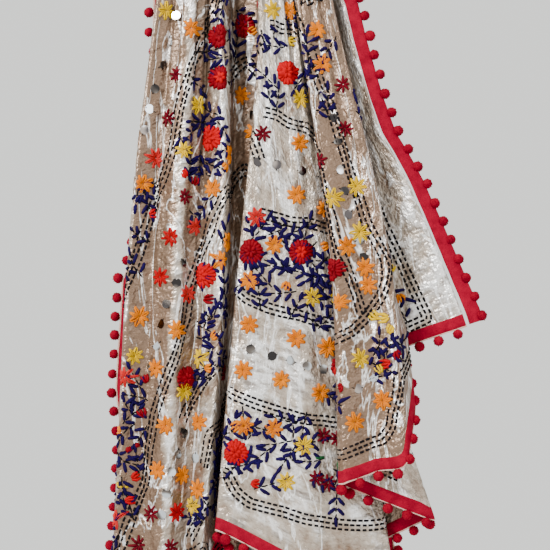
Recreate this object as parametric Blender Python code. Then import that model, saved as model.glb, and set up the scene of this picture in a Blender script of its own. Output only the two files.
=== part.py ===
"""Phulkari shawl hung over a short wall bar.

One rectangle of tissue silk is folded over a bar near the middle of its
length. Both ends hang down: the front fall opens from the gathers on the bar
into a few large folds whose hem runs down in steps from a high right corner,
and the back fall hangs behind it in narrow pleats. All four edges are bound
with a red tape that carries pompoms.

Metres, +Z up, +X to the right of someone who faces the wall, and +Y into the
wall. The origin is the middle of the wall plate's back face.
"""

import math
from collections import namedtuple

import bmesh
import bpy
import numpy as np

# ---- Driving dimensions ------------------------------------------------------
MM = 0.001
CLOTH_LENGTH = 2.00          # the whole shawl, end to end
WALL = 1.6 * MM              # cloth with its couched embroidery
SEAM_GAP = 0.3 * MM          # left between neighbouring pieces
HEM_GAP = 0.8 * MM           # and where a seam runs across the folds
TAPE_WIDTH = 12.6 * MM       # red binding tape
MOST_SLANT = 0.44            # least sine of the angle between the hem and a fold
POMPOM_RADIUS = 5.6 * MM
POMPOM_PITCH = 25.0 * MM
POMPOM_STALK = 2.5 * MM
STALK_WIDTH = 2.6 * MM
POMPOM_WAIST = 0.8           # half the side of its widest square, as a part of the radius
POMPOM_ROOM = 8.0 * MM       # least distance from a pompom's middle to another fold
POMPOM_OWN_FOLD = 20.0 * MM  # cloth this near to where it hangs is its own fold
POMPOM_DROOP = 0.35          # how far a pompom on an upright edge leans down
POMPOM_RISE = 0.5            # and how far one beside the bar leans up

BAR_RADIUS = 8.0 * MM
BAR_HALF_SPAN = 112.0 * MM   # from the middle to each arm's axis
BAR_BEND = 16.0 * MM         # corner radius of the bent bar
BAR_SIDES = 16
BAR_STANDOFF = 78.0 * MM     # wall face to the bar's axis
PLATE_SIZE = (256.0 * MM, 5.0 * MM, 34.0 * MM)
PLATE_CORNER = 6.0 * MM

GATHER_RADIUS = 13.0 * MM    # bar axis to the middle of the gathered cloth
GATHER_SWELL = 3.6 * MM      # height of the gathers on the bar
GATHER_HALF_WIDTH = 62.0 * MM
EDGE_AT_BAR = 80.0 * MM

SHOULDER_DROP = 0.315        # bar axis down to the table's shoulder level
WAIST_DROP = 0.5775          # and to its waist level

COLUMN_PITCH = 14.0 * MM     # spacing of the columns along the hem
COLUMN_TURN = math.radians(32)
FRONT_ROWS = 12
BACK_ROWS = 8
OVER_ROWS = 7

# ---- The folds, one row for each crest or valley, right edge to left edge ----
# swell is the fold's part in the gathers on the bar, from -1 (against the bar)
# to 1. x, y and z are millimetres from the middle of the bar, for the front
# fall's shoulder, waist and hem. drift shifts the same fold sideways at the
# back fall's hem.
Fold = namedtuple("Fold", "name swell shoulder_x shoulder_y waist_x waist_y hem_x hem_y hem_z drift")
FOLDS = (
    Fold("right_edge",      0.0, 130, -32, 233, -50, 259, -56, -653, 0),
    Fold("right_seam",      0.0, 117, -32, 220, -50, 247, -56, -657, 0),
    Fold("margin_valley",  -1.0, 102, -14, 158, -37, 176, -43, -684, 3),
    Fold("valley_turn",    -0.7, 96, -21, 153, -46, 172, -57, -704, 2),
    Fold("first_crest",     1.0, 107, -45, 163, -83, 182, -102, -790, -2),
    Fold("first_face",     -0.2, 88, -43, 134, -77, 149, -92, -806, 0),
    Fold("first_turn",      1.0, 71, -49, 105, -85, 117, -98, -817, 3),
    Fold("inner_start",     0.6, 72, -36, 107, -69, 120, -83, -823, 0),
    Fold("inner_crest",     0.1, 85, -27, 125, -56, 203, -71, -857, -3),
    Fold("inner_turn",     -0.4, 83, -17, 124, -42, 204, -57, -861, 0),
    Fold("hidden_valley",  -1.0, 57, -7, 97, -19, 146, -26, -895, 4),
    Fold("hidden_turn",    -0.8, 58, -14, 99, -28, 146, -36, -899, 2),
    Fold("middle_edge",    -0.1, 76, -27, 119, -49, 168, -51, -921, 0),
    Fold("middle_face",     0.7, 51, -43, 71, -67, 84, -70, -916, -3),
    Fold("middle_crest",    1.0, 29, -50, 11, -72, -13, -68, -871, 2),
    Fold("tuck",            0.0, 36, -30, 19, -46, -3, -44, -888, 0),
    Fold("dark_valley",    -1.0, -2, -14, -1, -28, -19, -30, -905, -4),
    Fold("left_crest",      1.0, -9, -44, -8, -62, -34, -60, -934, 0),
    Fold("left_dip",       -0.6, -27, -34, -34, -48, -53, -48, -945, 3),
    Fold("left_ridge",      1.0, -44, -48, -57, -66, -74, -64, -951, -2),
    Fold("outer_dip",      -0.6, -61, -36, -85, -51, -99, -51, -957, 0),
    Fold("outer_crest",     1.0, -78, -43, -111, -58, -126, -57, -961, 2),
    Fold("outer_turn",      0.2, -77, -31, -110, -43, -125, -42, -961, 0),
    Fold("rear_turn",      -1.0, -50, -16, -82, -25, -97, -25, -957, -3),
    Fold("left_seam",      -0.2, -64, -10, -96, -11, -107, -11, -946, 0),
    Fold("left_edge",       0.0, -77, -9, -108, -9, -120, -9, -944, 0),
)
LAST = len(FOLDS) - 1

# Back fall: each fold spreads sideways and deepens from the bar to the hem.
BACK_RIGHT = 205.0 * MM
BACK_LEFT = -130.0 * MM
BACK_MIDDLE_Y = 45.0 * MM
BACK_DEPTH = 18.0 * MM

COLOURS = {
    "cloth": ((0.72, 0.68, 0.62, 1.0), 0.45, 0.15),
    "trim": ((0.50, 0.01, 0.03, 1.0), 0.85, 0.0),
    "bar": ((0.55, 0.55, 0.56, 1.0), 0.35, 1.0),
}


# ---- Curves and surfaces -----------------------------------------------------
def hermite(start, end, slope_start, slope_end, part):
    """Cubic from start to end with the slopes given per whole step."""
    square = part * part
    cube = square * part
    return ((2 * cube - 3 * square + 1) * start + (cube - 2 * square + part) * slope_start
            + (3 * square - 2 * cube) * end + (cube - square) * slope_end)


def unit(vectors):
    return vectors / np.linalg.norm(vectors, axis=-1, keepdims=True)


def across(levels, fold):
    """Points at the fractional fold numbers, on a Catmull-Rom curve through each level's folds."""
    index = np.clip(np.floor(fold).astype(int), 0, LAST - 1)
    part = (fold - index)[:, None]
    before = levels[:, np.clip(index - 1, 0, LAST)]
    start = levels[:, index]
    end = levels[:, index + 1]
    after = levels[:, np.clip(index + 2, 0, LAST)]
    return hermite(start, end, 0.5 * (end - before), 0.5 * (after - start), part)


def places_on_bar():
    """Sideways place of each fold on the bar: the tapes lie flat, the rest is gathered evenly."""
    inner = np.linspace(GATHER_HALF_WIDTH, -GATHER_HALF_WIDTH, LAST - 3)
    seam = EDGE_AT_BAR - TAPE_WIDTH
    return np.concatenate([[EDGE_AT_BAR, seam], inner, [-seam, -EDGE_AT_BAR]])


def column(name):
    return np.array([getattr(fold, name) for fold in FOLDS], dtype=float)


def gather_radius():
    return GATHER_RADIUS + GATHER_SWELL * column("swell")


def front_levels():
    """The fold table as four levels of points: bar, shoulder, waist and hem."""
    count = len(FOLDS)
    bar = np.column_stack([places_on_bar(), -gather_radius(), np.zeros(count)])
    shoulder = np.column_stack([column("shoulder_x") * MM, column("shoulder_y") * MM,
                                np.full(count, -SHOULDER_DROP)])
    waist = np.column_stack([column("waist_x") * MM, column("waist_y") * MM,
                             np.full(count, -WAIST_DROP)])
    hem = np.column_stack([column("hem_x"), column("hem_y"), column("hem_z")]) * MM
    return np.array([bar, shoulder, waist, hem])


FRONT_LEVELS = front_levels()


def front(fold, down):
    """Middle surface of the front fall, for arrays of fold numbers and of drop from 0 to 1."""
    levels = across(FRONT_LEVELS, fold)
    heights = levels[:, :, 2]
    z = heights[3] * down
    step = np.diff(heights, axis=0)
    points = np.column_stack([z, z, z])
    for axis in (0, 1):
        value = levels[:, :, axis]
        slope = np.diff(value, axis=0) / step
        inner = (slope[:-1] * step[1:] + slope[1:] * step[:-1]) / (step[:-1] + step[1:])
        slopes = np.vstack([np.zeros_like(z), inner, slope[-1]])
        piece = (z < heights[1]).astype(int) + (z < heights[2]).astype(int)
        pick = np.arange(len(z))
        height = step[piece, pick]
        part = (z - heights[piece, pick]) / height
        points[:, axis] = hermite(value[piece, pick], value[piece + 1, pick],
                                  slopes[piece, pick] * height, slopes[piece + 1, pick] * height, part)
    return points


def length_down(surface, fold, steps=60):
    """Length of the cloth from the bar to the hem along each fold number."""
    downs = np.linspace(0, 1, steps)
    lines = np.array([surface(fold, np.full(len(fold), down)) for down in downs])
    return np.linalg.norm(np.diff(lines, axis=0), axis=2).sum(axis=0)


def bar_levels():
    return np.array([np.column_stack([places_on_bar(), gather_radius(), np.zeros(len(FOLDS))])])


def over(fold, turn):
    """Middle surface on the bar: turn runs from 0, in front, over the top to 1, behind."""
    place = across(bar_levels(), fold)[0]
    angle = math.pi * turn
    return np.column_stack([place[:, 0], -place[:, 1] * np.cos(angle), place[:, 1] * np.sin(angle)])


def back_levels():
    """Bar and hem of the back fall: the length that the front fall and the bar leave.

    Its hem falls evenly from one edge to the other.
    """
    count = len(FOLDS)
    swell = column("swell")
    bar_x = places_on_bar()
    bar = np.column_stack([bar_x, gather_radius(), np.zeros(count)])
    hem_y = BACK_MIDDLE_Y + BACK_DEPTH * swell
    hem_x = np.interp(np.arange(count), (1, LAST - 1), (BACK_RIGHT, BACK_LEFT))
    hem_x += column("drift") * MM
    hem_x[[0, LAST]] += (TAPE_WIDTH, -TAPE_WIDTH)
    edges = length_down(front, np.array([0.0, LAST])) + math.pi * GATHER_RADIUS
    hem = np.column_stack([hem_x, hem_y, np.linspace(*edges, count) - CLOTH_LENGTH])
    return np.array([bar, hem])


BACK_LEVELS = back_levels()


def back(fold, down):
    """Middle surface of the back fall: folds deepen fast below the bar, and spread evenly."""
    bar, hem = across(BACK_LEVELS, fold)
    points = bar + (hem - bar) * down[:, None]
    points[:, 1] = bar[:, 1] + (hem[:, 1] - bar[:, 1]) * down * (2 - down)
    return points


def running_length(line):
    """Length along a line of points, at each of them."""
    return np.concatenate([[0.0], np.cumsum(np.linalg.norm(np.diff(line, axis=0), axis=1))])


def cloth_columns():
    """Fold numbers of the cloth's columns, close enough together to follow each turn."""
    stops = [1.0]
    for index in range(1, LAST - 1):
        folds = np.linspace(index, index + 1, 9)
        hem = front(folds, np.ones(9))
        step = unit(np.diff(hem, axis=0))
        turned = np.arccos(np.clip(np.sum(step[1:] * step[:-1], axis=1), -1, 1)).sum()
        length = running_length(hem)[-1]
        parts = max(2, round(length / COLUMN_PITCH), round(turned / COLUMN_TURN))
        stops.extend(index + (step_number + 1) / parts for step_number in range(parts))
    return np.array(stops)


# ---- Meshes ------------------------------------------------------------------
def material(kind, name):
    colour, roughness, metallic = COLOURS[kind]
    made = bpy.data.materials.new(name)
    made.use_nodes = True
    shader = made.node_tree.nodes["Principled BSDF"]
    shader.inputs["Base Color"].default_value = colour
    shader.inputs["Roughness"].default_value = roughness
    shader.inputs["Metallic"].default_value = metallic
    return made


def add_body(name, kind, points, faces):
    """One closed body with its faces outwards, moved from the bar's frame to the wall's."""
    shape = bmesh.new()
    corners = [shape.verts.new((x, y - BAR_STANDOFF, z)) for x, y, z in points]
    for face in faces:
        shape.faces.new([corners[index] for index in face])
    bmesh.ops.recalc_face_normals(shape, faces=shape.faces)
    mesh = bpy.data.meshes.new(name)
    shape.to_mesh(mesh)
    shape.free()
    mesh.shade_smooth()
    mesh.set_sharp_from_angle(angle=math.radians(40))
    mesh.materials.append(material(kind, name))
    bpy.context.scene.collection.objects.link(bpy.data.objects.new(name, mesh))


def grid_normals(grid):
    """Unit normals of a grid of points, indexed by column, then by row."""
    return unit(np.cross(np.gradient(grid, axis=0), np.gradient(grid, axis=1)))


def cloth_body(name, grid, normal):
    """The wall of cloth around a grid of middle points."""
    columns, rows = grid.shape[:2]
    points = np.concatenate([(grid + normal * WALL / 2).reshape(-1, 3),
                             (grid - normal * WALL / 2).reshape(-1, 3)])
    upper = np.arange(columns * rows).reshape(columns, rows)
    lower = upper + columns * rows
    faces = []
    for side in (upper, lower):
        quads = np.stack([side[:-1, :-1], side[1:, :-1], side[1:, 1:], side[:-1, 1:]], axis=-1)
        faces.extend(quads.reshape(-1, 4).tolist())
    rim = np.concatenate([upper[:-1, 0], upper[-1, :-1], upper[:0:-1, -1], upper[0, :0:-1]])
    after = np.roll(rim, -1)
    offset = columns * rows
    faces.extend(np.stack([rim, after, after + offset, rim + offset], axis=-1).tolist())
    add_body(name, "cloth", points, faces)


# ---- Cloth -------------------------------------------------------------------
def even_rows(count):
    """Parts of the way down, a little closer together near the bar."""
    even = np.linspace(0.0, 1.0, count)
    return even * (0.75 + 0.25 * even)


def surface_grid(surface, folds, drops):
    """Points for every fold number, one row of drops for each."""
    columns, rows = drops.shape
    return surface(np.repeat(folds, rows), drops.reshape(-1)).reshape(columns, rows, 3)


def make_cloth(name, surface, folds, rows, below):
    """One stretch of cloth. below is the length left at its far end for the tape or the seam.

    Returns the parts of the way down that its rows lie at, its middle points and normals.
    """
    length = length_down(surface, folds)
    start = 0.5 * SEAM_GAP / length
    end = 1.0 - below / length
    drops = start[:, None] + (end - start)[:, None] * rows[None, :]
    grid = surface_grid(surface, folds, drops)
    normal = grid_normals(grid)
    level = [0, -1] if surface is over else [0]
    normal[:, level, 2] = 0.0
    normal = unit(normal)
    cloth_body(name, grid, normal)
    return drops, grid, normal


# ---- Tape with pompoms -------------------------------------------------------
def between(line, running, wanted):
    """Points on a line of straight stretches, at the wanted running lengths."""
    return np.column_stack([np.interp(wanted, running, line[:, axis]) for axis in range(3)])


def with_pompom_stops(outer, lines):
    """The lines of a strip with a stop on each side of every pompom along its outer line.

    Each pompom grows from inside one straight stretch of the line. The marks are true on
    each stop that a pompom's narrow stretch starts from.
    """
    running = running_length(outer)
    clear = running[-1] - 2 * POMPOM_RADIUS
    count = int(clear / POMPOM_PITCH)
    middles = POMPOM_RADIUS + (np.arange(count) + 0.5) * clear / count
    stretch = np.searchsorted(running, middles)
    margin = 0.7 * STALK_WIDTH
    first = running[stretch - 1] + margin
    last = running[stretch] - margin
    middles = np.clip(middles, first, last)[first < last]
    starts = middles - STALK_WIDTH / 2
    stops = np.concatenate([running, starts, starts + STALK_WIDTH])
    marks = np.arange(len(stops)) - len(running)
    marks = (marks >= 0) & (marks < len(starts))
    order = np.argsort(stops)
    return [between(line, running, stops[order]) for line in lines], marks[order]


def close_points(surface):
    """Points on a stretch of cloth, close enough together to test a pompom's room against."""
    drops = np.tile(np.linspace(0.0, 1.0, 160), (240, 1))
    return surface_grid(surface, np.linspace(0.0, LAST, 240), drops).reshape(-1, 3)


def has_room(middle, root, cloth_points, hung):
    """True where no other fold and no other pompom comes too near a pompom's middle."""
    elsewhere = np.linalg.norm(cloth_points - root, axis=1) > POMPOM_OWN_FOLD
    near = np.linalg.norm(cloth_points - middle, axis=1) < POMPOM_ROOM
    if np.any(elsewhere & near):
        return False
    return all(np.linalg.norm(middle - other) > 2.3 * POMPOM_RADIUS for other in hung)


def pompom(points, faces, base, root, along, lift, away):
    """A four-sided double pyramid, grown from the four points of its base."""
    middle = root + away * (POMPOM_STALK + POMPOM_RADIUS)
    first = len(points)
    for side, rise in ((-1, 1), (-1, -1), (1, -1), (1, 1)):
        points.append(middle + POMPOM_WAIST * POMPOM_RADIUS * (side * along + rise * lift))
    points.append(middle + away * POMPOM_RADIUS)
    for side in range(4):
        after = (side + 1) % 4
        faces.append((base[side], base[after], first + after, first + side))
        faces.append((first + side, first + after, first + 4))


def make_tape(name, inner, outer, normal, cloth_points, hung):
    """A strip of tape between two lines of points, with pompoms along its outer line.

    It takes the normals of the cloth's edge, so that both walls meet evenly.
    """
    droop = POMPOM_DROOP if outer[:, 2].min() < -BAR_STANDOFF else -POMPOM_RISE
    lines, marks = with_pompom_stops(outer, (inner, outer, normal))
    inner, outer, normal = lines
    half = normal * WALL / 2
    count = len(inner)
    points = list(np.concatenate([inner + half, outer + half, outer - half, inner - half]))
    corner = np.arange(4 * count).reshape(4, count)
    faces = [tuple(corner[:, 0]), tuple(corner[:, -1])]
    for index in range(count - 1):
        for side in range(4):
            after = (side + 1) % 4
            if side != 1:
                faces.append((corner[side, index], corner[after, index],
                              corner[after, index + 1], corner[side, index + 1]))
        base = (corner[1, index], corner[2, index], corner[2, index + 1], corner[1, index + 1])
        root = 0.5 * (outer[index] + outer[index + 1])
        along = unit(outer[index + 1] - outer[index])
        outward = unit(root - 0.5 * (inner[index] + inner[index + 1]))
        away = unit(outward - np.array([0.0, 0.0, droop]))
        middle = root + away * (POMPOM_STALK + POMPOM_RADIUS)
        if marks[index] and has_room(middle, root, cloth_points, hung):
            hung.append(middle)
            pompom(points, faces, base, root, along, normal[index], away)
        else:
            faces.append(base)
    add_body(name, "trim", points, faces)


def make_side_tape(name, surface, edge, seam, drops, normal, cloth_points, hung):
    """Tape down one long edge of a stretch of cloth, from the edge nearly to the seam."""
    near = seam + (edge - seam) * SEAM_GAP / TAPE_WIDTH
    inner = surface(np.full(len(drops), near), drops)
    outer = surface(np.full(len(drops), float(edge)), drops)
    make_tape(name, inner, outer, normal, cloth_points, hung)


def hem_slant(surface, folds):
    """How much longer a step up each fold is than the same step square to the hem."""
    hem = surface(folds, np.ones(len(folds)))
    along = unit(np.gradient(hem, axis=0))
    down = unit(hem - surface(folds, np.full(len(folds), 0.98)))
    square = np.linalg.norm(np.cross(along, down), axis=1)
    return 1.0 / np.maximum(square, MOST_SLANT)


def make_hem_tape(name, surface, folds, normal, cloth_points, hung):
    """Tape across the end of a fall, between the two side tapes."""
    width = TAPE_WIDTH * hem_slant(surface, folds)
    inner = surface(folds, 1.0 - width / length_down(surface, folds))
    outer = surface(folds, np.ones(len(folds)))
    make_tape(name, inner, outer, normal, cloth_points, hung)


def make_stretch(name, surface, rows, hem):
    """One stretch of the shawl: its cloth, its two side tapes and, on a fall, its hem tape."""
    folds = cloth_columns()
    below = 0.5 * SEAM_GAP
    if hem:
        below = (TAPE_WIDTH + HEM_GAP) * hem_slant(surface, folds)
    drops, grid, normal = make_cloth("cloth_" + name, surface, folds, rows, below)
    cloth_points = close_points(surface)
    if hem:
        drops = np.column_stack([drops, np.ones(len(drops))])
        normal = np.concatenate([normal, normal[:, -1:]], axis=1)
    hung = []
    make_side_tape("tape_right_" + name, surface, 0, 1, drops[0], normal[0], cloth_points, hung)
    make_side_tape("tape_left_" + name, surface, LAST, LAST - 1, drops[-1], normal[-1],
                   cloth_points, hung)
    if hem:
        make_hem_tape("tape_hem_" + name, surface, folds, normal[:, -1], cloth_points, hung)
    return len(hung)


# ---- Wall bar ----------------------------------------------------------------
def bar_path():
    """Middle line of the bent bar, from the wall plate, along the front and back to the plate."""
    foot = BAR_STANDOFF - PLATE_SIZE[1] - SEAM_GAP
    points = [(BAR_HALF_SPAN, foot)]
    for step in range(7):
        angle = math.pi / 2 * step / 6
        points.append((BAR_HALF_SPAN - BAR_BEND * (1 - math.cos(angle)),
                       BAR_BEND - BAR_BEND * math.sin(angle)))
    half = np.array(points)
    return np.vstack([half, half[::-1] * (-1, 1)])


def make_bar():
    """Round bar swept along its path, in rings that lie square to it."""
    path = bar_path()
    direction = unit(np.gradient(path, axis=0))
    direction[[0, -1]] = ((0, -1), (0, 1))
    turn = np.linspace(0, 2 * math.pi, BAR_SIDES, endpoint=False)
    sideways = np.column_stack([-direction[:, 1], direction[:, 0]])
    rings = np.zeros((len(path), BAR_SIDES, 3))
    rings[:, :, :2] = path[:, None] + BAR_RADIUS * np.cos(turn)[None, :, None] * sideways[:, None]
    rings[:, :, 2] = BAR_RADIUS * np.sin(turn)
    number = np.arange(len(path) * BAR_SIDES).reshape(len(path), BAR_SIDES)
    after = np.roll(number, -1, axis=1)
    sides = np.stack([number[:-1], after[:-1], after[1:], number[1:]], axis=-1)
    faces = sides.reshape(-1, 4).tolist() + [number[0].tolist(), number[-1].tolist()]
    add_body("wall_bar", "bar", rings.reshape(-1, 3), faces)


def make_plate():
    """Flat plate against the wall, with rounded corners."""
    width, depth, height = PLATE_SIZE
    outline = []
    for quarter, (side, rise) in enumerate(((1, 1), (-1, 1), (-1, -1), (1, -1))):
        for step in range(5):
            angle = math.pi / 2 * (quarter + step / 4)
            outline.append((side * (width / 2 - PLATE_CORNER) + PLATE_CORNER * math.cos(angle),
                            rise * (height / 2 - PLATE_CORNER) + PLATE_CORNER * math.sin(angle)))
    count = len(outline)
    points = [(x, BAR_STANDOFF, z) for x, z in outline]
    points += [(x, BAR_STANDOFF - depth, z) for x, z in outline]
    faces = [tuple(range(count)), tuple(range(count, 2 * count))]
    for index in range(count):
        after = (index + 1) % count
        faces.append((index, after, after + count, index + count))
    add_body("wall_plate", "bar", points, faces)


def main():
    for thing in list(bpy.data.objects):
        bpy.data.objects.remove(thing)
    hung = make_stretch("front", front, even_rows(FRONT_ROWS), True)
    hung += make_stretch("over", over, np.linspace(0.0, 1.0, OVER_ROWS), False)
    hung += make_stretch("back", back, even_rows(BACK_ROWS), True)
    make_bar()
    make_plate()
    print("pompoms", hung, "cloth across the hem", running_length(
        front(cloth_columns(), np.ones(len(cloth_columns()))))[-1])


main()
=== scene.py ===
# %% [markdown]
# # A phulkari shawl on a wall bar
#
# Phulkari is flower work: padded flowers and leaves stitched by hand on a
# light cloth. This shawl is tissue silk, bound with a red tape that carries
# pompoms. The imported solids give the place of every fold. This lesson dresses
# them: thin cloth first, then tape and pompoms, then the stitches.

# %% load the frame
import math
from collections import namedtuple

import bpy
import numpy as np
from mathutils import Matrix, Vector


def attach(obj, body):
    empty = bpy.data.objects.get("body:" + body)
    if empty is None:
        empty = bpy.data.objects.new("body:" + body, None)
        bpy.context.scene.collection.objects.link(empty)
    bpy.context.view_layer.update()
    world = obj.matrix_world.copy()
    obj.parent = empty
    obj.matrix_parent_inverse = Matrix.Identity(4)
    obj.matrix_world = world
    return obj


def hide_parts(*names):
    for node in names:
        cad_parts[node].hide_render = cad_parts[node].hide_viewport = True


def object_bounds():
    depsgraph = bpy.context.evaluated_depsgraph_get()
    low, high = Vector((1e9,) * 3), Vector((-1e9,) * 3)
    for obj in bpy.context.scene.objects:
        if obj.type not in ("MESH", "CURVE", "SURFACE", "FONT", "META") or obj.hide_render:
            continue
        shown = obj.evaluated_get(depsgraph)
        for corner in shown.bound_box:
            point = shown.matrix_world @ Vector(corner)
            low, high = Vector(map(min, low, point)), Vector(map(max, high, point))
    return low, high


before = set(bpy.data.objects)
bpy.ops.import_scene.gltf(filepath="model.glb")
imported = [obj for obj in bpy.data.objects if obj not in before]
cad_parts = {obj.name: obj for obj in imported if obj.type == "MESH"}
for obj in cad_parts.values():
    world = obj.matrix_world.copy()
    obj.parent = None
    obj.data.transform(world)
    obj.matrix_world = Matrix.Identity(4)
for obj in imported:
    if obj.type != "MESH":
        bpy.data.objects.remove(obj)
SOLID_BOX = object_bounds()
MM = 0.001
print("solid box", SOLID_BOX)

# %% [markdown]
# ## The folds
#
# A hanging shawl is one sheet, gathered on the bar and opening downwards. A
# short table gives one row for each crest or valley, from the right edge to
# the left edge, at three levels. A smooth curve through the rows of a level is
# the shawl's cross-section there. The same table shapes the solids.

# %% sizes and the fold table
CLOTH_LENGTH = 2.00
TAPE_WIDTH = 12.6 * MM
BAR_STANDOFF = 78.0 * MM
GATHER_RADIUS = 13.0 * MM
GATHER_SWELL = 3.6 * MM
GATHER_HALF_WIDTH = 62.0 * MM
EDGE_AT_BAR = 80.0 * MM
SHOULDER_DROP = 0.315
WAIST_DROP = 0.5775
BACK_RIGHT = 205.0 * MM
BACK_LEFT = -130.0 * MM
BACK_MIDDLE_Y = 45.0 * MM
BACK_DEPTH = 18.0 * MM

Fold = namedtuple("Fold", "name swell shoulder_x shoulder_y waist_x waist_y hem_x hem_y hem_z drift")
FOLDS = [Fold(*row) for row in (
    ("right_edge",      0.0, 130, -32, 233, -50, 259, -56, -653, 0),
    ("right_seam",      0.0, 117, -32, 220, -50, 247, -56, -657, 0),
    ("margin_valley",  -1.0, 102, -14, 158, -37, 176, -43, -684, 3),
    ("valley_turn",    -0.7, 96, -21, 153, -46, 172, -57, -704, 2),
    ("first_crest",     1.0, 107, -45, 163, -83, 182, -102, -790, -2),
    ("first_face",     -0.2, 88, -43, 134, -77, 149, -92, -806, 0),
    ("first_turn",      1.0, 71, -49, 105, -85, 117, -98, -817, 3),
    ("inner_start",     0.6, 72, -36, 107, -69, 120, -83, -823, 0),
    ("inner_crest",     0.1, 85, -27, 125, -56, 203, -71, -857, -3),
    ("inner_turn",     -0.4, 83, -17, 124, -42, 204, -57, -861, 0),
    ("hidden_valley",  -1.0, 57, -7, 97, -19, 146, -26, -895, 4),
    ("hidden_turn",    -0.8, 58, -14, 99, -28, 146, -36, -899, 2),
    ("middle_edge",    -0.1, 76, -27, 119, -49, 168, -51, -921, 0),
    ("middle_face",     0.7, 51, -43, 71, -67, 84, -70, -916, -3),
    ("middle_crest",    1.0, 29, -50, 11, -72, -13, -68, -871, 2),
    ("tuck",            0.0, 36, -30, 19, -46, -3, -44, -888, 0),
    ("dark_valley",    -1.0, -2, -14, -1, -28, -19, -30, -905, -4),
    ("left_crest",      1.0, -9, -44, -8, -62, -34, -60, -934, 0),
    ("left_dip",       -0.6, -27, -34, -34, -48, -53, -48, -945, 3),
    ("left_ridge",      1.0, -44, -48, -57, -66, -74, -64, -951, -2),
    ("outer_dip",      -0.6, -61, -36, -85, -51, -99, -51, -957, 0),
    ("outer_crest",     1.0, -78, -43, -111, -58, -126, -57, -961, 2),
    ("outer_turn",      0.2, -77, -31, -110, -43, -125, -42, -961, 0),
    ("rear_turn",      -1.0, -50, -16, -82, -25, -97, -25, -957, -3),
    ("left_seam",      -0.2, -64, -10, -96, -11, -107, -11, -946, 0),
    ("left_edge",       0.0, -77, -9, -108, -9, -120, -9, -944, 0),
)]
LAST = len(FOLDS) - 1
print(len(FOLDS), "fold rows")

# %% [markdown]
# ## Curves between the rows
#
# A Hermite cubic needs two ends and two slopes. Taking each slope from the
# neighbours gives the Catmull-Rom curve, which passes through every row and
# turns softly at the crests, as cloth does.

# %% curves through the table
def hermite(start, end, slope_start, slope_end, part):
    """Cubic blend: the ends weighted by 2t^3-3t^2+1 and 3t^2-2t^3, the slopes by the rest."""
    square = part * part
    cube = square * part
    return ((2 * cube - 3 * square + 1) * start + (cube - 2 * square + part) * slope_start
            + (3 * square - 2 * cube) * end + (cube - square) * slope_end)


def across(levels, fold):
    """Catmull-Rom: each slope is half the step between the neighbouring rows."""
    index = np.clip(np.floor(fold).astype(int), 0, LAST - 1)
    part = (fold - index)[:, None]
    before = levels[:, np.clip(index - 1, 0, LAST)]
    start, end = levels[:, index], levels[:, index + 1]
    after = levels[:, np.clip(index + 2, 0, LAST)]
    return hermite(start, end, 0.5 * (end - before), 0.5 * (after - start), part)


def column(name):
    """One named column of the fold table."""
    return np.array([getattr(fold, name) for fold in FOLDS], dtype=float)


def unit(vectors):
    """Each vector divided by its own length."""
    return vectors / np.maximum(np.linalg.norm(vectors, axis=-1, keepdims=True), 1e-12)


def running_length(line):
    """Sum of the steps so far, at each point of a line."""
    return np.concatenate([[0.0], np.cumsum(np.linalg.norm(np.diff(line, axis=0), axis=1))])


seam_at_bar = EDGE_AT_BAR - TAPE_WIDTH
PLACE_ON_BAR = np.concatenate([
    [EDGE_AT_BAR, seam_at_bar],
    np.linspace(GATHER_HALF_WIDTH, -GATHER_HALF_WIDTH, LAST - 3),
    [-seam_at_bar, -EDGE_AT_BAR]])
RADIUS_ON_BAR = GATHER_RADIUS + GATHER_SWELL * column("swell")
print("gathers on the bar span", round(2 * EDGE_AT_BAR * 1000), "mm")

# %% [markdown]
# ## The front fall
#
# The cloth hangs from the bar and opens downwards, from tight gathers to deep
# folds. A loft through four sections would make it. Here a point's height is set
# first and its x and y follow a cubic through the four levels, so that one
# formula gives any place on the cloth, and stitches can be laid on it later.

# %% the front fall's surface
zeros = np.zeros(LAST + 1)
FRONT_LEVELS = np.array([
    np.column_stack([PLACE_ON_BAR, -RADIUS_ON_BAR, zeros]),
    np.column_stack([column("shoulder_x") * MM, column("shoulder_y") * MM, zeros - SHOULDER_DROP]),
    np.column_stack([column("waist_x") * MM, column("waist_y") * MM, zeros - WAIST_DROP]),
    np.column_stack([column("hem_x"), column("hem_y"), column("hem_z")]) * MM])


def front(fold, down):
    """Height falls evenly from 0 to the hem. x and y follow cubics through the four levels."""
    levels = across(FRONT_LEVELS, fold)
    heights = levels[:, :, 2]
    z = heights[3] * down
    step = np.diff(heights, axis=0)
    points = np.column_stack([z, z, z])
    piece = (z < heights[1]).astype(int) + (z < heights[2]).astype(int)
    pick = np.arange(len(z))
    height = step[piece, pick]
    part = (z - heights[piece, pick]) / height
    for axis in (0, 1):
        value = levels[:, :, axis]
        slope = np.diff(value, axis=0) / step
        inner = (slope[:-1] * step[1:] + slope[1:] * step[:-1]) / (step[:-1] + step[1:])
        slopes = np.vstack([np.zeros_like(z), inner, slope[-1]])
        points[:, axis] = hermite(value[piece, pick], value[piece + 1, pick],
                                  slopes[piece, pick] * height, slopes[piece + 1, pick] * height,
                                  part)
    return points


def length_down(surface, fold, steps=60):
    """Length of the cloth along each fold number, summed over short steps."""
    lines = np.array([surface(fold, np.full(len(fold), down)) for down in np.linspace(0, 1, steps)])
    return np.linalg.norm(np.diff(lines, axis=0), axis=2).sum(axis=0)


print("front lengths", np.round(length_down(front, np.arange(0.0, LAST + 1, 5)), 3))

# %% [markdown]
# ## Over the bar and down the back
#
# The same sheet turns half round the bar and falls again behind it. On the bar
# it is a circle whose radius swells at each gather. Behind, straight lines to
# the hem are enough, and the length of cloth that is left over sets how low the
# hem hangs at each edge.

# %% the stretch on the bar and the back fall
BAR_LEVEL = np.array([np.column_stack([PLACE_ON_BAR, RADIUS_ON_BAR, zeros])])


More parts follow.
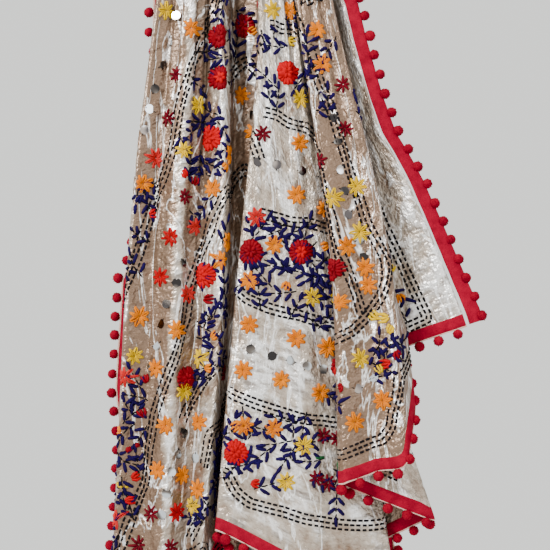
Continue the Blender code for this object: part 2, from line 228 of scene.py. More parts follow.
def over(fold, turn):
    """Half a turn round the bar: y is -r cos(pi t) and z is r sin(pi t)."""
    place = across(BAR_LEVEL, fold)[0]
    angle = math.pi * turn
    return np.column_stack([place[:, 0], -place[:, 1] * np.cos(angle), place[:, 1] * np.sin(angle)])


numbers = np.arange(LAST + 1)
back_x = np.interp(numbers, (1, LAST - 1), (BACK_RIGHT, BACK_LEFT)) + column("drift") * MM
back_x[[0, LAST]] += (TAPE_WIDTH, -TAPE_WIDTH)
back_y = BACK_MIDDLE_Y + BACK_DEPTH * column("swell")
used = length_down(front, np.array([0.0, LAST])) + math.pi * GATHER_RADIUS
BACK_LEVELS = np.array([BAR_LEVEL[0], np.column_stack(
    [back_x, back_y, np.linspace(*used, LAST + 1) - CLOTH_LENGTH])])


def back(fold, down):
    """Straight lines from the bar to the hem, with y eased as t(2 - t) so that folds deepen fast."""
    bar, hem = across(BACK_LEVELS, fold)
    points = bar + (hem - bar) * down[:, None]
    points[:, 1] = bar[:, 1] + (hem[:, 1] - bar[:, 1]) * down * (2 - down)
    return points


print("back lengths", np.round(length_down(back, np.arange(0.0, LAST + 1, 5)), 3))

# %% [markdown]
# ## Gathers and creases
#
# The large folds come from the table. Between them real silk has fine gathers
# that start at the bar and die out lower down, and a few soft troughs and
# ridges that never repeat. Gathers are a wave along the cloth's width. Each
# crease is a row of a table, a soft bump that starts and ends gently.

# %% relief on the big folds
DENSE = np.linspace(0, LAST, 1301)
SHOULDER_RUN = running_length(across(FRONT_LEVELS[1:2], DENSE)[0])
GATHER_PITCH = 11.5 * MM
BACK_FOLD_WIDTH = 12 * MM
# height of the gathers, in millimetres, by how far down each stretch
GATHER_HEIGHT = {"front": ((0, 0.08, 0.25, 0.34, 0.5, 0.8, 1), (1.4, 3.9, 5.8, 3.7, 1.5, 0.6, 0.5)),
                 "over": ((0, 1), (1.4, 1.3)),
                 "back": ((0, 0.1, 0.35, 1), (1.3, 3.2, 6.8, 6.4))}

# fold number, top and bottom by the drop, drift in folds, height and width in millimetres
Crease = namedtuple("Crease", "fold top bottom drift height width")
FRONT_CREASES = [Crease(*row) for row in (
    (1.35, 0.15, 0.80, 0.2, 1.8, 9),
    (1.62, 0.30, 1.05, 0.1, -2.2, 11),
    (1.80, 0.55, 1.10, -0.1, 1.6, 7),
    (3.55, 0.20, 0.90, 0.1, -1.5, 9),
    (4.60, 0.28, 0.72, 0.7, 2.4, 7),
    (5.10, 0.55, 1.05, -0.5, -1.8, 9),
    (5.45, 0.60, 1.08, 0.3, 2.2, 8),
    (5.80, 0.30, 0.66, -0.2, -1.6, 7),
    (8.30, 0.50, 1.05, 0.2, 2.0, 10),
    (12.55, 0.35, 0.85, 0.2, -1.6, 12),
    (12.90, 0.68, 1.12, 0.2, 3.0, 9),
    (13.20, 0.50, 0.90, 0.1, -2.2, 14),
    (13.45, 0.25, 0.70, 0.2, 1.8, 9),
    (13.75, 0.55, 1.02, -0.1, 2.2, 13),
    (17.50, 0.30, 0.85, 0.3, 1.8, 7),
    (18.60, 0.40, 1.05, -0.3, -1.8, 8),
    (19.40, 0.30, 0.75, 0.4, 2.0, 7),
    (20.45, 0.55, 1.06, 0.2, -1.6, 8),
    (21.00, 0.45, 0.95, -0.2, 1.6, 8),
)]
BACK_CREASES = [Crease(*row) for row in (
    (3.20, 0.20, 0.80, 0.5, 2.4, 8),
    (6.40, 0.35, 1.05, -0.4, -2.4, 9),
    (9.60, 0.15, 0.70, 0.6, 2.6, 9),
    (12.50, 0.40, 1.02, 0.5, -2.0, 10),
    (14.60, 0.25, 0.85, -0.5, 2.6, 8),
    (17.40, 0.45, 1.06, 0.4, 2.2, 9),
    (20.30, 0.20, 0.75, -0.3, -2.4, 8),
)]


def smooth(value, low, high):
    """3t^2 - 2t^3 from 0 at low to 1 at high."""
    part = np.clip((value - low) / (high - low), 0, 1)
    return part * part * (3 - 2 * part)


def creases(rows, fold, down, fold_width):
    """Sum of bumps: a Gaussian across the fold times a soft start and end."""
    total = np.zeros_like(down)
    for row in rows:
        middle = row.fold + row.drift * (down - row.top) / (row.bottom - row.top)
        away = (fold - middle) * fold_width / (row.width * MM)
        length = row.bottom - row.top
        ends = (smooth(down, row.top, row.top + 0.35 * length)
                * (1 - smooth(down, row.bottom - 0.35 * length, row.bottom)))
        total += row.height * MM * np.exp(-away * away) * ends
    return total


def relief(kind, fold, down):
    """A wave of gathers that fades with the drop, plus the creases, both gone at the seams."""
    wave = np.interp(fold, DENSE, SHOULDER_RUN) / GATHER_PITCH
    uneven = 0.62 + 0.38 * np.sin(1.9 * wave + 0.8 * np.sin(0.7 * wave))
    height = np.interp(down, *GATHER_HEIGHT[kind])
    bumps = 0.0
    if kind == "front":
        fold_width = np.interp(fold, DENSE, np.gradient(SHOULDER_RUN, DENSE)) * (1 + down)
        bumps = creases(FRONT_CREASES, fold, down, fold_width)
    elif kind == "back":
        bumps = creases(BACK_CREASES, fold, down, BACK_FOLD_WIDTH)
    at_seams = smooth(fold, 1.0, 1.8) * (1 - smooth(fold, LAST - 1.8, LAST - 1.0))
    return (height * MM * uneven * np.sin(2 * math.pi * wave) + bumps) * at_seams


SURFACES = {"front": front, "over": over, "back": back}
# a move sideways, in millimetres, at drops in metres below the bar, near one fold
Move = namedtuple("Move", "fold reach drops by")
EDGE_MOVES = {
    "front": (Move(0.5, 2.0, (0.27, 0.315, 0.3675, 0.42, 0.4515, 0.4725, 0.504, 0.525, 0.588, 0.64),
               (0, 3, -2, -8, -11, -8, -5, -5, -3, 0)),
              Move(3.0, 0.95, (0.60, 0.66, 0.80, 0.88), (0, 15, 15, 8)),
              Move(21.4, 2.2, (0.30, 0.45, 0.52, 0.58, 0.68, 0.76, 0.90), (0, 0, 3, 6, 6, 5, 1))),
    "back": (Move(24.6, 5.0, (0.05, 0.20, 0.33, 0.36, 0.52, 0.58, 0.61, 0.73, 0.79, 0.86, 1.0),
              (0, 6, 11, 13, 13, 4, -7, -7, 3, 3, 0)),)}


def nudge(kind, fold, height):
    """Sideways moves of the edges and crests by the drop, gone at their reach in folds."""
    total = 0.0
    for move in EDGE_MOVES.get(kind, ()):
        share = 1 - smooth(np.abs(fold - move.fold), 0.3 * move.reach, move.reach)
        total = total + share * np.interp(-height, move.drops, move.by)
    return total * MM


def draped(kind, fold, down):
    """The smooth surface moved along its own normal by the relief, then from bar to wall frame."""
    surface = SURFACES[kind]
    small = 2e-3
    here = surface(fold, down)
    side = surface(np.clip(fold + small, 0, LAST), down) - surface(np.clip(fold - small, 0, LAST), down)
    below = surface(fold, np.clip(down + small, 0, 1)) - surface(fold, np.clip(down - small, 0, 1))
    normal = unit(np.cross(side, below))
    moved = here + normal * relief(kind, fold, down)[:, None]
    moved[:, 0] += nudge(kind, fold, moved[:, 2])
    moved[:, 1] -= BAR_STANDOFF
    return moved


print(len(FRONT_CREASES), "creases in front,", len(BACK_CREASES), "behind")

# %% [markdown]
# ## Where the pattern lies
#
# Stitches were sewn on a flat cloth, so they are placed in flat sizes: across,
# from the right seam, and up, from the hem seam. On the hanging cloth, across
# is the running length along a level, counted from the nearer edge, and up is
# the length along the fold. What the hidden folds swallow evens the two out.

# %% grids of cloth points with their flat sizes
FRONT_GRID, OVER_GRID, BACK_GRID = (300, 120), (240, 8), (240, 84)
# a column for so much run along the hem, and for so much turn
COLUMN_RUN, COLUMN_TURN = 4 * MM, math.radians(14)
HIDDEN_FROM, HIDDEN_TO = 7, 12
# share of the width that the gathers hold, between two heights above the hem in metres
HELD, HELD_BETWEEN = 0.4, (0.2, 0.55)
# width that the rear layer gains for each metre of height, and the tuck's slip in metres
REAR_GAIN, SLIP = 0.28, 0.045


def column_folds(count):
    """Fold numbers that share out the hem's length and its turning evenly."""
    fine = np.linspace(1, LAST - 1, 4001)
    hem = front(fine, np.ones_like(fine))
    step = unit(np.diff(hem, axis=0))
    turn = np.arccos(np.clip(np.sum(step[1:] * step[:-1], axis=1), -1, 1))
    measure = running_length(hem) / COLUMN_RUN
    measure[2:] += np.cumsum(turn) / COLUMN_TURN
    return np.interp(np.linspace(0, measure[-1], count), measure, fine)


def cloth_grid(kind, columns, rows):
    """Points by column and row, with the flat coordinates across and up of each."""
    fold = column_folds(columns)
    down = np.linspace(0, 1, rows)
    points = draped(kind, np.repeat(fold, rows), np.tile(down, columns)).reshape(columns, rows, 3)
    length = length_down(SURFACES[kind], fold)
    up = length[:, None] * (1 - down[None, :])
    steps = np.linalg.norm(np.diff(points, axis=0), axis=2)
    from_right = np.vstack([np.zeros(rows), np.cumsum(steps, axis=0)])
    from_left = from_right[-1] - from_right
    wide = from_right
    if kind == "front":
        held = HELD * smooth(up, *HELD_BETWEEN)
        right = from_right * (1 - held)
        total = from_right[-1, -1] + REAR_GAIN * length.max()
        rear = 1 - smooth(fold, LAST - 3.0, LAST - 1.0)[:, None]
        left = total - from_left - REAR_GAIN * (length.max() - up) * rear
        start = np.array([np.interp(HIDDEN_FROM, fold, right[:, row]) for row in range(rows)])
        end = np.array([np.interp(HIDDEN_TO, fold, left[:, row]) for row in range(rows)])
        part = ((fold - HIDDEN_FROM) / (HIDDEN_TO - HIDDEN_FROM))[:, None]
        between = start + (end - start) * part
        wide = np.where(part < 0, right, np.where(part > 1, left, between))
    else:
        wide = np.repeat(running_length(front(fold, np.ones_like(fold)))[:, None], rows, axis=1)
    normal = unit(np.cross(np.gradient(points, axis=0), np.gradient(points, axis=1)))
    slip = SLIP * smooth(fold, 14.2, 14.9) * (1 - smooth(fold, 16.4, 17.0)) * (kind == "front")
    return {"kind": kind, "fold": fold, "points": points, "normal": normal, "run": from_right,
            "across": wide, "up": up + slip[:, None], "length": length, "slip": slip,
            "first": 0, "low": length, "high": np.ones(columns), "face": 1}


def follow_on(first, second):
    """One cloth from two that meet: the rows of both, with the first one's up counted on.

    Its face looks away from the bar, which is against the grid's own normal.
    """
    both = dict(second, first=first["up"].shape[1] - 1, high=first["length"], face=-1)
    for key in ("points", "across", "normal", "run"):
        both[key] = np.concatenate([first[key][:, :-1], second[key]], axis=1)
    both["up"] = np.concatenate([first["up"][:, :-1] + second["length"][:, None], second["up"]], axis=1)
    both["length"] = first["length"] + second["length"]
    return both


FRONT = cloth_grid("front", *FRONT_GRID)
BACK = follow_on(cloth_grid("over", *OVER_GRID), cloth_grid("back", *BACK_GRID))
for cloth in (FRONT, BACK):
    print(cloth["kind"], "across", np.round(cloth["across"][-1, [0, -1]], 3),
          "up", np.round(cloth["up"][0, [0, -1]], 3))

# %% [markdown]
# ## Finishes from nodes
#
# A finish is a small tree of nodes: noise gives a pattern, a ramp turns it into
# a colour or a gloss, and a bump turns it into relief. The same few nodes come
# back in every finish, so each has a short helper here, and a finish then reads
# as a list of what it looks like.

# %% helpers for materials
def new_material(name):
    """A material with its node tree and its shader."""
    made = bpy.data.materials.new(name)
    made.use_nodes = True
    return made, made.node_tree, made.node_tree.nodes["Principled BSDF"]


def add_node(tree, kind, settings=None, **inputs):
    """A node with its settings, and its sockets set or linked."""
    node = tree.nodes.new(kind)
    for key, value in (settings or {}).items():
        setattr(node, key, value)
    for key, value in inputs.items():
        socket = node.inputs[int(key[1:])] if key[1:].isdigit() else node.inputs[key.replace("_", " ")]
        if isinstance(value, bpy.types.NodeSocket):
            tree.links.new(value, socket)
        else:
            socket.default_value = value
    return node


def ramp(tree, factor, stops):
    """A colour ramp from a list of (place, colour), where a single number is a grey."""
    node = add_node(tree, "ShaderNodeValToRGB", i0=factor)
    elements = node.color_ramp.elements
    while len(elements) < len(stops):
        elements.new(0.5)
    for element, (place, colour) in zip(elements, stops):
        element.position = place
        element.color = (*colour, 1.0) if isinstance(colour, tuple) else (colour, colour, colour, 1.0)
    return node.outputs[0]


def noise(tree, place, scale, detail, roughness=0.5, distortion=0.0):
    """Noise by one scale, or by three that stretch it."""
    if isinstance(scale, tuple):
        place, scale = add_node(tree, "ShaderNodeMapping", i0=place, i3=scale).outputs[0], 1.0
    return add_node(tree, "ShaderNodeTexNoise", i0=place, Scale=scale, Detail=detail,
                    Roughness=roughness, Distortion=distortion).outputs[0]


def maths(tree, operation, *values, clamp=False):
    """One Math node on sockets or numbers."""
    inputs = {"i" + str(number): value for number, value in enumerate(values)}
    return add_node(tree, "ShaderNodeMath", {"operation": operation, "use_clamp": clamp}, **inputs).outputs[0]


def mixed(tree, factor, first, second, blend="MIX"):
    """One colour laid over another."""
    return add_node(tree, "ShaderNodeMix", {"data_type": "RGBA", "blend_type": blend},
                    i0=factor, i6=first, i7=second).outputs[2]


def finish_shader(tree, shader, links, values):
    """Links and constants on the shader's own sockets, by their names."""
    for name, socket in links.items():
        tree.links.new(socket, shader.inputs[name])
    for name, value in values.items():
        shader.inputs[name].default_value = value


def link_object(name, data):
    """A new object for the data, in the scene and at the origin."""
    made = bpy.data.objects.new(name, data)
    bpy.context.scene.collection.objects.link(made)
    return made


print("helpers for noise, maths, ramps and mixes are ready")


# %% [markdown]
# ## Cloth of tissue silk
#
# Tissue silk is woven with a fine metal thread, so it is pale and silvery, and
# every tiny crumple glints. Its threads run along and across the cloth. The
# colour and the crumple follow the cloth's own flat sizes, so they do not slide
# over the folds. Light is painted into the colour as well: silver sheen and
# beige shade set fold by fold, with soft random patches of both, dark streaks
# and flecks for the shade of the crumple, and pale lines for crease highlights.

# %% tissue silk
def tissue_silk():
    """Painted sheen and shade by fold and soft patches, painted crumple shade and crease highlights, crumple
    in bump and gloss.
    """
    made, tree, shader = new_material("tissue_silk")
    flat = add_node(tree, "ShaderNodeUVMap", {"uv_map": "cloth"}).outputs[0]
    # the shade and sheen painted for each fold, read from the mesh
    painted_by_fold = add_node(tree, "ShaderNodeAttribute", {"attribute_name": "shade_and_sheen"}).outputs["Fac"]
    patches = noise(tree, flat, 22.0, 4.0, 0.65)
    crumple = noise(tree, flat, (130.0, 260.0, 1.0), 3.0, 0.65, 0.3)
    wefts = noise(tree, flat, (30.0, 110.0, 1.0), 3.0, 0.6, 0.5)
    lines = noise(tree, flat, (20.0, 6.0, 1.0), 4.0, 0.6, 1.3)
    # beige: soft random patches plus the painted shade by fold; low is silver sheen, high is beige shade
    beige = maths(tree, "ADD", maths(tree, "MULTIPLY_ADD", patches, -2.6, 1.8), painted_by_fold, clamp=True)
    ground = ramp(tree, beige, [(0.15, (0.80, 0.79, 0.78)), (0.45, (0.46, 0.39, 0.32)),
                                (0.90, (0.185, 0.112, 0.068))])
    # a pale line of painted crease highlight runs where the third noise crosses its middle
    beside = maths(tree, "ABSOLUTE", maths(tree, "SUBTRACT", lines, 0.5))
    crease = ramp(tree, beside, [(0.0, 0.9), (0.008, 0.5), (0.024, 0.0)])
    # painted crumple shade: dark streaks along the weft, multiplied into the ground
    weft_shade = ramp(tree, wefts, [(0.37, (0.36, 0.32, 0.29)), (0.45, (0.70, 0.67, 0.64)), (0.54, 1.0)])
    # the painted streaks show fully on silver and faintly on beige
    silver = ramp(tree, beige, [(0.30, 1.0), (0.60, 0.12)])
    # fine flecks of painted crumple shade
    fleck_shade = ramp(tree, crumple, [(0.34, (0.80, 0.78, 0.76)), (0.58, 1.0)])
    # the ground with its painted crumple shade
    shaded_ground = mixed(tree, 1.0, mixed(tree, silver, ground, weft_shade, "MULTIPLY"), fleck_shade, "MULTIPLY")
    normal = None
    for height, strength, distance in ((patches, 0.8, 0.014), (wefts, 0.6, 0.0022), (crumple, 0.6, 0.0011)):
        before = {} if normal is None else {"Normal": normal}
        normal = add_node(tree, "ShaderNodeBump", Height=height, Strength=strength, Distance=distance,
                          **before).outputs[0]
    finish_shader(tree, shader, {
        # pale lines of painted crease highlight over the shaded ground
        "Base Color": mixed(tree, crease, shaded_ground, (0.90, 0.89, 0.88, 1)),
        "Roughness": ramp(tree, crumple, [(0.35, 0.24), (0.50, 0.34), (0.70, 0.48)]), "Normal": normal},
        {"Metallic": 0.5, "Specular IOR Level": 0.8, "Sheen Weight": 0.08, "Sheen Roughness": 0.4})
    return made


TISSUE = tissue_silk()
print("made", TISSUE.name)

# %% [markdown]
# ## The cloth itself
#
# Each stretch of the shawl is a grid of points, with a face between every four
# neighbours. Solidify gives it the thickness of silk with its backing threads.
# The flat sizes go into a UV map called cloth, in metres.

# %% grid meshes
def grid_mesh(name, points, material, flat=None, shade_and_sheen=None):
    """Quads between neighbouring grid points. The UV of each corner is its flat place."""
    columns, rows = points.shape[:2]
    number = np.arange(columns * rows).reshape(columns, rows)
    quads = np.stack([number[:-1, :-1], number[1:, :-1], number[1:, 1:], number[:-1, 1:]], axis=-1)
    quads = quads.reshape(-1, 4)
    mesh = bpy.data.meshes.new(name)
    mesh.from_pydata(points.reshape(-1, 3), [], quads)
    if flat is not None:
        layer = mesh.uv_layers.new(name="cloth")
        layer.data.foreach_set("uv", flat.reshape(-1, 2)[quads.reshape(-1)].astype(np.float32).ravel())
    # painted shade and sheen at each point, for the silk's colour
    if shade_and_sheen is not None:
        layer = mesh.attributes.new("shade_and_sheen", "FLOAT", "POINT")
        layer.data.foreach_set("value", shade_and_sheen.astype(np.float32).ravel())
    mesh.shade_smooth()
    mesh.materials.append(material)
    return link_object(name, mesh)


def solidify(piece, thickness):
    """Walls grow half to each side, with a rim round the edge."""
    wall = piece.modifiers.new("thickness", "SOLIDIFY")
    wall.thickness = thickness
    wall.offset = 0.0
    wall.use_quality_normals = True


def ride_on(piece, slot, *nodes):
    """The piece moves with the wall bar and stands in for any nodes named; the slot is not used."""
    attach(piece, "root")
    if nodes:
        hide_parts(*nodes)


SILK_THICKNESS = 0.7 * MM
# painted shade and sheen by fold number: beige shade at 1 and above, silver sheen at 0 and below
SHADE_AND_SHEEN_BY_FOLD = ((1, 2.2, 2.8, 4.0, 4.4, 5.5, 6.1, 8, 10, 12, 12.6, 13.6, 14.2, 15, 16.2, 17.0, 17.5, 18.0,
             18.6, 19.0, 19.35, 20.0, 20.7, 21.1, 21.6, 24),
            (-0.25, -0.15, 0.45, 0.4, 0.7, 0.85, 0.45, 0.1, 0.3, 0.2, 0.1, -0.2, 0.25, 0.5, 0.65, 0.05,
             0.15, 0.5, 0.45, -0.2, 0.75, 1.2, 1.05, 0.2, 0.3, 0.3))
# the weft of the middle panel drops by this much from one place across to the other, in metres
WEFT_SLANT, WEFT_FROM, WEFT_TO = 0.38, 0.746, 0.801
# painted shade on the right margin: the folds it spans, its strength, and the height above the hem that stays
# silver, in metres
MARGIN_FOLDS, MARGIN_SHADE, MARGIN_SILVER = 2.6, 0.25, 0.09
STANDS_FOR = {"front": ["cloth_front"], "back": ["cloth_back", "cloth_over"]}
for cloth in (FRONT, BACK):
    hem_run = running_length(front(cloth["fold"], np.ones(len(cloth["fold"]))))
    weft = cloth["up"] + WEFT_SLANT * np.clip(cloth["across"] - WEFT_FROM, 0, WEFT_TO - WEFT_FROM)
    flat = np.stack([np.broadcast_to(hem_run[:, None], weft.shape), weft], axis=-1)
    # painted shade and sheen by fold, then more painted shade up the margin
    shade_and_sheen = np.repeat(np.interp(cloth["fold"], *SHADE_AND_SHEEN_BY_FOLD)[:, None], cloth["up"].shape[1], axis=1)
    # the margin is silver at its hem, and painted shade warms it from there up
    margin = cloth["fold"][:, None] < MARGIN_FOLDS
    shade_and_sheen = shade_and_sheen + margin * MARGIN_SHADE * np.clip((cloth["up"] - MARGIN_SILVER) / MARGIN_SILVER, 0, 1)
    piece = grid_mesh("silk_" + cloth["kind"], cloth["points"], TISSUE, flat, shade_and_sheen)
    solidify(piece, SILK_THICKNESS)
    ride_on(piece, "cloth", *STANDS_FOR[cloth["kind"]])
    print(piece.name, len(piece.data.polygons), "quads")

# %% [markdown]
# ## Red tape
#
# The edge is bound with a folded cotton tape, a little uneven where the needle
# pulls it. It is swept along the edge: a flat round-cornered section at each
# stop, from just over the seam to the edge. A pale selvedge shows outside it.

# %% tape sections along the edges
TAPE_STOPS = {"front": 260, "over": 24, "back": 320, "hem": 420}
# sine of the sharpest angle between the hem and the folds that widens the tape
STEEPEST = 0.44
# share of its width by which the tape reaches past the seam, and how uneven its edge is
OVERLAP, WOBBLE = 0.06, 0.35 * MM
# the section, by shares of the width and of the thickness, from the seam's side and round
TAPE_SECTION = ((-0.5, 0.0), (-0.46, 0.42), (-0.2, 0.5), (0.2, 0.56), (0.45, 0.5), (0.5, 0.0),
                (0.45, -0.5), (0.2, -0.56), (-0.2, -0.5), (-0.46, -0.42), (-0.5, 0.0))


def tape_lines(kind, edge):
    """Inner and outer line of a tape: a side one runs down a fold, the hem one across them."""
    if edge == "hem":
        spread = column_folds(FRONT_GRID[0])
        fold = np.interp(np.linspace(0, 1, TAPE_STOPS["hem"]), np.linspace(0, 1, len(spread)), spread)
        surface = SURFACES[kind]
        hem = surface(fold, np.ones_like(fold))
        along = unit(np.gradient(hem, axis=0))
        below = unit(hem - surface(fold, np.full_like(fold, 0.98)))
        slant = 1 / np.maximum(np.linalg.norm(np.cross(along, below), axis=1), STEEPEST)
        part = TAPE_WIDTH * slant / length_down(surface, fold)
        return [draped(kind, fold, 1 - part * share) for share in (1 + OVERLAP, 0.5, 0.0)]
    outer_fold, seam = (0, 1) if edge == "right" else (LAST, LAST - 1)
    down = np.linspace(0, 1, TAPE_STOPS[kind])
    return [draped(kind, np.full(len(down), seam + (outer_fold - seam) * share), down)
            for share in (-OVERLAP, 0.5, 1.0)]


def tape_wobble(count, seed):
    """A slow uneven wave, the sum of three sines, for a hand-sewn edge."""
    step = np.arange(count)
    return (np.sin(step * 0.11 + seed) + 0.6 * np.sin(step * 0.31 + 2 * seed)
            + 0.4 * np.sin(step * 0.73 + 3 * seed)) / 2


def tape_grid(lines, thickness):
    """A closed rounded section round the three lines, one for each stop along the tape."""
    inner, middle, outer = lines
    out = unit(outer - inner)
    along = unit(np.gradient(middle, axis=0))
    normal = unit(np.cross(along, out))
    width = np.linalg.norm(outer - inner, axis=1)[:, None]
    wave = tape_wobble(len(inner), width[0, 0] * 900)[:, None] * WOBBLE
    rings = [middle + out * (width * x + wave * (abs(x) > 0.4)) + normal * (thickness * y)
             for x, y in TAPE_SECTION]
    return np.stack(rings, axis=1)


EDGES = {(kind, edge): tape_lines(kind, edge)
         for kind in ("front", "over", "back")
         for edge in (("right", "left") if kind == "over" else ("right", "left", "hem"))}
print(len(EDGES), "stretches of tape")

# %% [markdown]
# ## Cotton, yarn and steel
#
# The tape is a dull crimson cotton with a fine diagonal twill. Pompoms are cut
# wool, uneven in its red. Both are rough, with hardly a highlight. The bar
# is brushed steel: fine streaks run along it and spread the highlight.

# %% finishes read in object coordinates
def thread_material(name, dark, light, roughness=0.75, fine=900.0, bump=0.4):
    """Colour between dark and light in fine noise, with fibres in the bump."""
    made, tree, shader = new_material(name)
    place = add_node(tree, "ShaderNodeTexCoord").outputs["Object"]
    fibres = noise(tree, place, fine, 3.0, 0.6)
    patches = maths(tree, "MULTIPLY", noise(tree, place, fine / 12, 2.0), 0.4)
    both = maths(tree, "MULTIPLY_ADD", fibres, 0.6, patches)
    lift = add_node(tree, "ShaderNodeBump", Height=fibres, Strength=bump, Distance=0.0005).outputs[0]
    finish_shader(tree, shader, {"Base Color": ramp(tree, both, [(0.36, dark), (0.62, light)]),
                                 "Normal": lift}, {"Roughness": roughness, "Specular IOR Level": 0.06})
    return made


TAPE_RED = thread_material("crimson_tape", (0.14, 0.0001, 0.008), (0.28, 0.0006, 0.018),
                           fine=1400.0, bump=0.6)
YARN_RED = thread_material("crimson_yarn", (0.11, 0.0001, 0.006), (0.26, 0.0006, 0.014),
                           roughness=0.85, fine=700.0)
EDGE_PALE = thread_material("pale_edge", (0.42, 0.20, 0.15), (0.60, 0.42, 0.36), fine=600.0)


def brushed_steel():
    """Noise stretched along x for the brushing, in the roughness and a faint bump."""
    made, tree, shader = new_material("brushed_bar")
    place = add_node(tree, "ShaderNodeTexCoord").outputs["Object"]
    streaks = noise(tree, place, (30.0, 900.0, 900.0), 3.0)
    lift = add_node(tree, "ShaderNodeBump", Height=streaks, Strength=0.15, Distance=0.0002).outputs[0]
    finish_shader(tree, shader, {
        "Base Color": ramp(tree, streaks, [(0.3, (0.42, 0.42, 0.43)), (0.7, (0.60, 0.60, 0.61))]),
        "Roughness": ramp(tree, streaks, [(0.3, 0.26), (0.7, 0.42)]), "Normal": lift}, {"Metallic": 1.0})
    return made


STEEL = brushed_steel()
for name in ("wall_bar", "wall_plate"):
    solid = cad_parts[name]
    for slot in solid.material_slots:
        slot.material = STEEL
    print(name, "slots", len(solid.material_slots))

# %% [markdown]
# ## Tape and selvedge in place
#
# The tape is folded over the cloth's edge, and a line of pale selvedge shows
# outside it. Both are the same rounded section, swept along the same edge: the
# tape over its whole width, and the selvedge over two millimetres at its outer
# line. A sweep keeps the width true where the edge winds through a fold.

# %% tape and its pale outer edge
TAPE_THICKNESS = 1.3 * MM
SELVEDGE_THICKNESS = 0.9 * MM
SELVEDGE_LINES = (-0.8 * MM, 0.3 * MM, 1.4 * MM)
for (kind, edge), lines in EDGES.items():
    place = "_" + edge + "_" + kind
    ride_on(grid_mesh("band" + place, tape_grid(lines, TAPE_THICKNESS), TAPE_RED), "trim", "tape" + place)
    outer = lines[2]
    away = unit(outer - lines[0])
    rim = tape_grid([outer + away * step for step in SELVEDGE_LINES], SELVEDGE_THICKNESS)
    ride_on(grid_mesh("edge" + place, rim, EDGE_PALE), "trim")
print("tape length", round(sum(running_length(lines[2])[-1] for lines in EDGES.values()), 2), "m")

# %% [markdown]
# ## Pompoms
#
# A pompom is a bundle of yarn tied at its middle and trimmed round. Each one
# here is a round core with many short pointed yarn ends, spread evenly over it
# by the golden angle and then jittered. One ball is made, and every pompom on
# the edge is that ball, turned at random and set a little off the tape.

# %% one ball of yarn ends
POMPOM_RADIUS = 6.1 * MM
POMPOM_PITCH = 21.5 * MM
POMPOM_REACH = 6.0 * MM
ENDS = 96
# shares of the ball's radius: where a yarn end's foot lies, how wide it is, and the core
FOOT_AT, FOOT_WIDE, CORE_SHARE = 0.76, 0.26, 0.9
dice = np.random.default_rng(28)


def even_directions(count):
    """Fibonacci sphere: equal steps in z, and the golden angle round it."""
    step = np.arange(count) + 0.5
    z = 1 - 2 * step / count
    angle = math.pi * (3 - math.sqrt(5)) * step
    radius = np.sqrt(1 - z * z)
    return np.column_stack([radius * np.cos(angle), radius * np.sin(angle), z])


def yarn_ball(radius, ends):
    """A slender three-sided cone for each yarn end: three foot points in a ring, then its tip."""
    out = unit(even_directions(ends) + dice.normal(0, 0.07, (ends, 3)))
    side = unit(np.cross(out, dice.normal(0, 1, (ends, 3))))
    other = np.cross(out, side)
    turn = np.array([0, 2, 4]) * math.pi / 3
    foot = out[:, None] * FOOT_AT * radius + FOOT_WIDE * radius * (
        side[:, None] * np.cos(turn)[None, :, None] + other[:, None] * np.sin(turn)[None, :, None])
    tip = out * radius * dice.uniform(0.96, 1.04, (ends, 1)) + dice.normal(0, 0.03 * radius, (ends, 3))
    points = np.concatenate([foot, tip[:, None]], axis=1).reshape(-1, 3)
    first = 4 * np.arange(ends)[:, None]
    faces = np.concatenate([first + np.array(row) for row in ((0, 1, 3), (1, 2, 3), (2, 0, 3))])
    return points, faces


def core_ball(radius, rings, sides):
    """A ball under the yarn: x = sin tilt cos spin, y = sin tilt sin spin, z = cos tilt."""
    tilt = np.linspace(0, math.pi, rings + 2)[1:-1, None]
    spin = np.linspace(0, 2 * math.pi, sides, endpoint=False)
    ring = np.stack([np.sin(tilt) * np.cos(spin), np.sin(tilt) * np.sin(spin), np.cos(tilt) + 0 * spin],
                    axis=-1).reshape(-1, 3)
    points = np.concatenate([ring, [[0, 0, 1], [0, 0, -1]]]) * radius
    number = np.arange(rings * sides).reshape(rings, sides)
    after = np.roll(number, -1, axis=1)
    low = np.stack([number[:-1], number[1:], after[1:]], axis=-1).reshape(-1, 3)
    high = np.stack([number[:-1], after[1:], after[:-1]], axis=-1).reshape(-1, 3)
    top = np.stack([number[0], after[0], np.full(sides, rings * sides)], axis=-1)
    end = np.stack([after[-1], number[-1], np.full(sides, rings * sides + 1)], axis=-1)
    return points, np.concatenate([low, high, top, end])


def turned(points, angles):
    """Copies of the points, each turned about x and then about z by its own two angles."""
    c, s = np.cos(angles), np.sin(angles)
    one, zero = np.ones(len(angles)), np.zeros(len(angles))
    about_z = np.array([[c[:, 0], -s[:, 0], zero], [s[:, 0], c[:, 0], zero], [zero, zero, one]])
    about_x = np.array([[one, zero, zero], [zero, c[:, 1], -s[:, 1]], [zero, s[:, 1], c[:, 1]]])
    matrix = np.einsum("ijn,jkn->nik", about_z, about_x)
    return np.einsum("nij,pj->npi", matrix, points)


def joined(name, point_sets, face_sets, material, smooth_faces=True):
    """One mesh from (copies, points, 3) arrays and the triangles that each copy has."""
    points, faces, first = [], [], 0
    for copies, pattern in zip(point_sets, face_sets):
        count, each = copies.shape[:2]
        points.append(copies.reshape(-1, 3))
        faces.append((pattern[None] + each * np.arange(count)[:, None, None] + first).reshape(-1, 3))
        first += count * each
    mesh = bpy.data.meshes.new(name)
    mesh.from_pydata(np.concatenate(points), [], np.concatenate(faces))
    if smooth_faces:
        mesh.shade_smooth()
    else:
        mesh.shade_flat()
    mesh.materials.append(material)
    return link_object(name, mesh)


# how much a pompom hangs, against its way out of the edge
DROOP = {"front": 0.35, "over": -0.5, "back": 0.35}
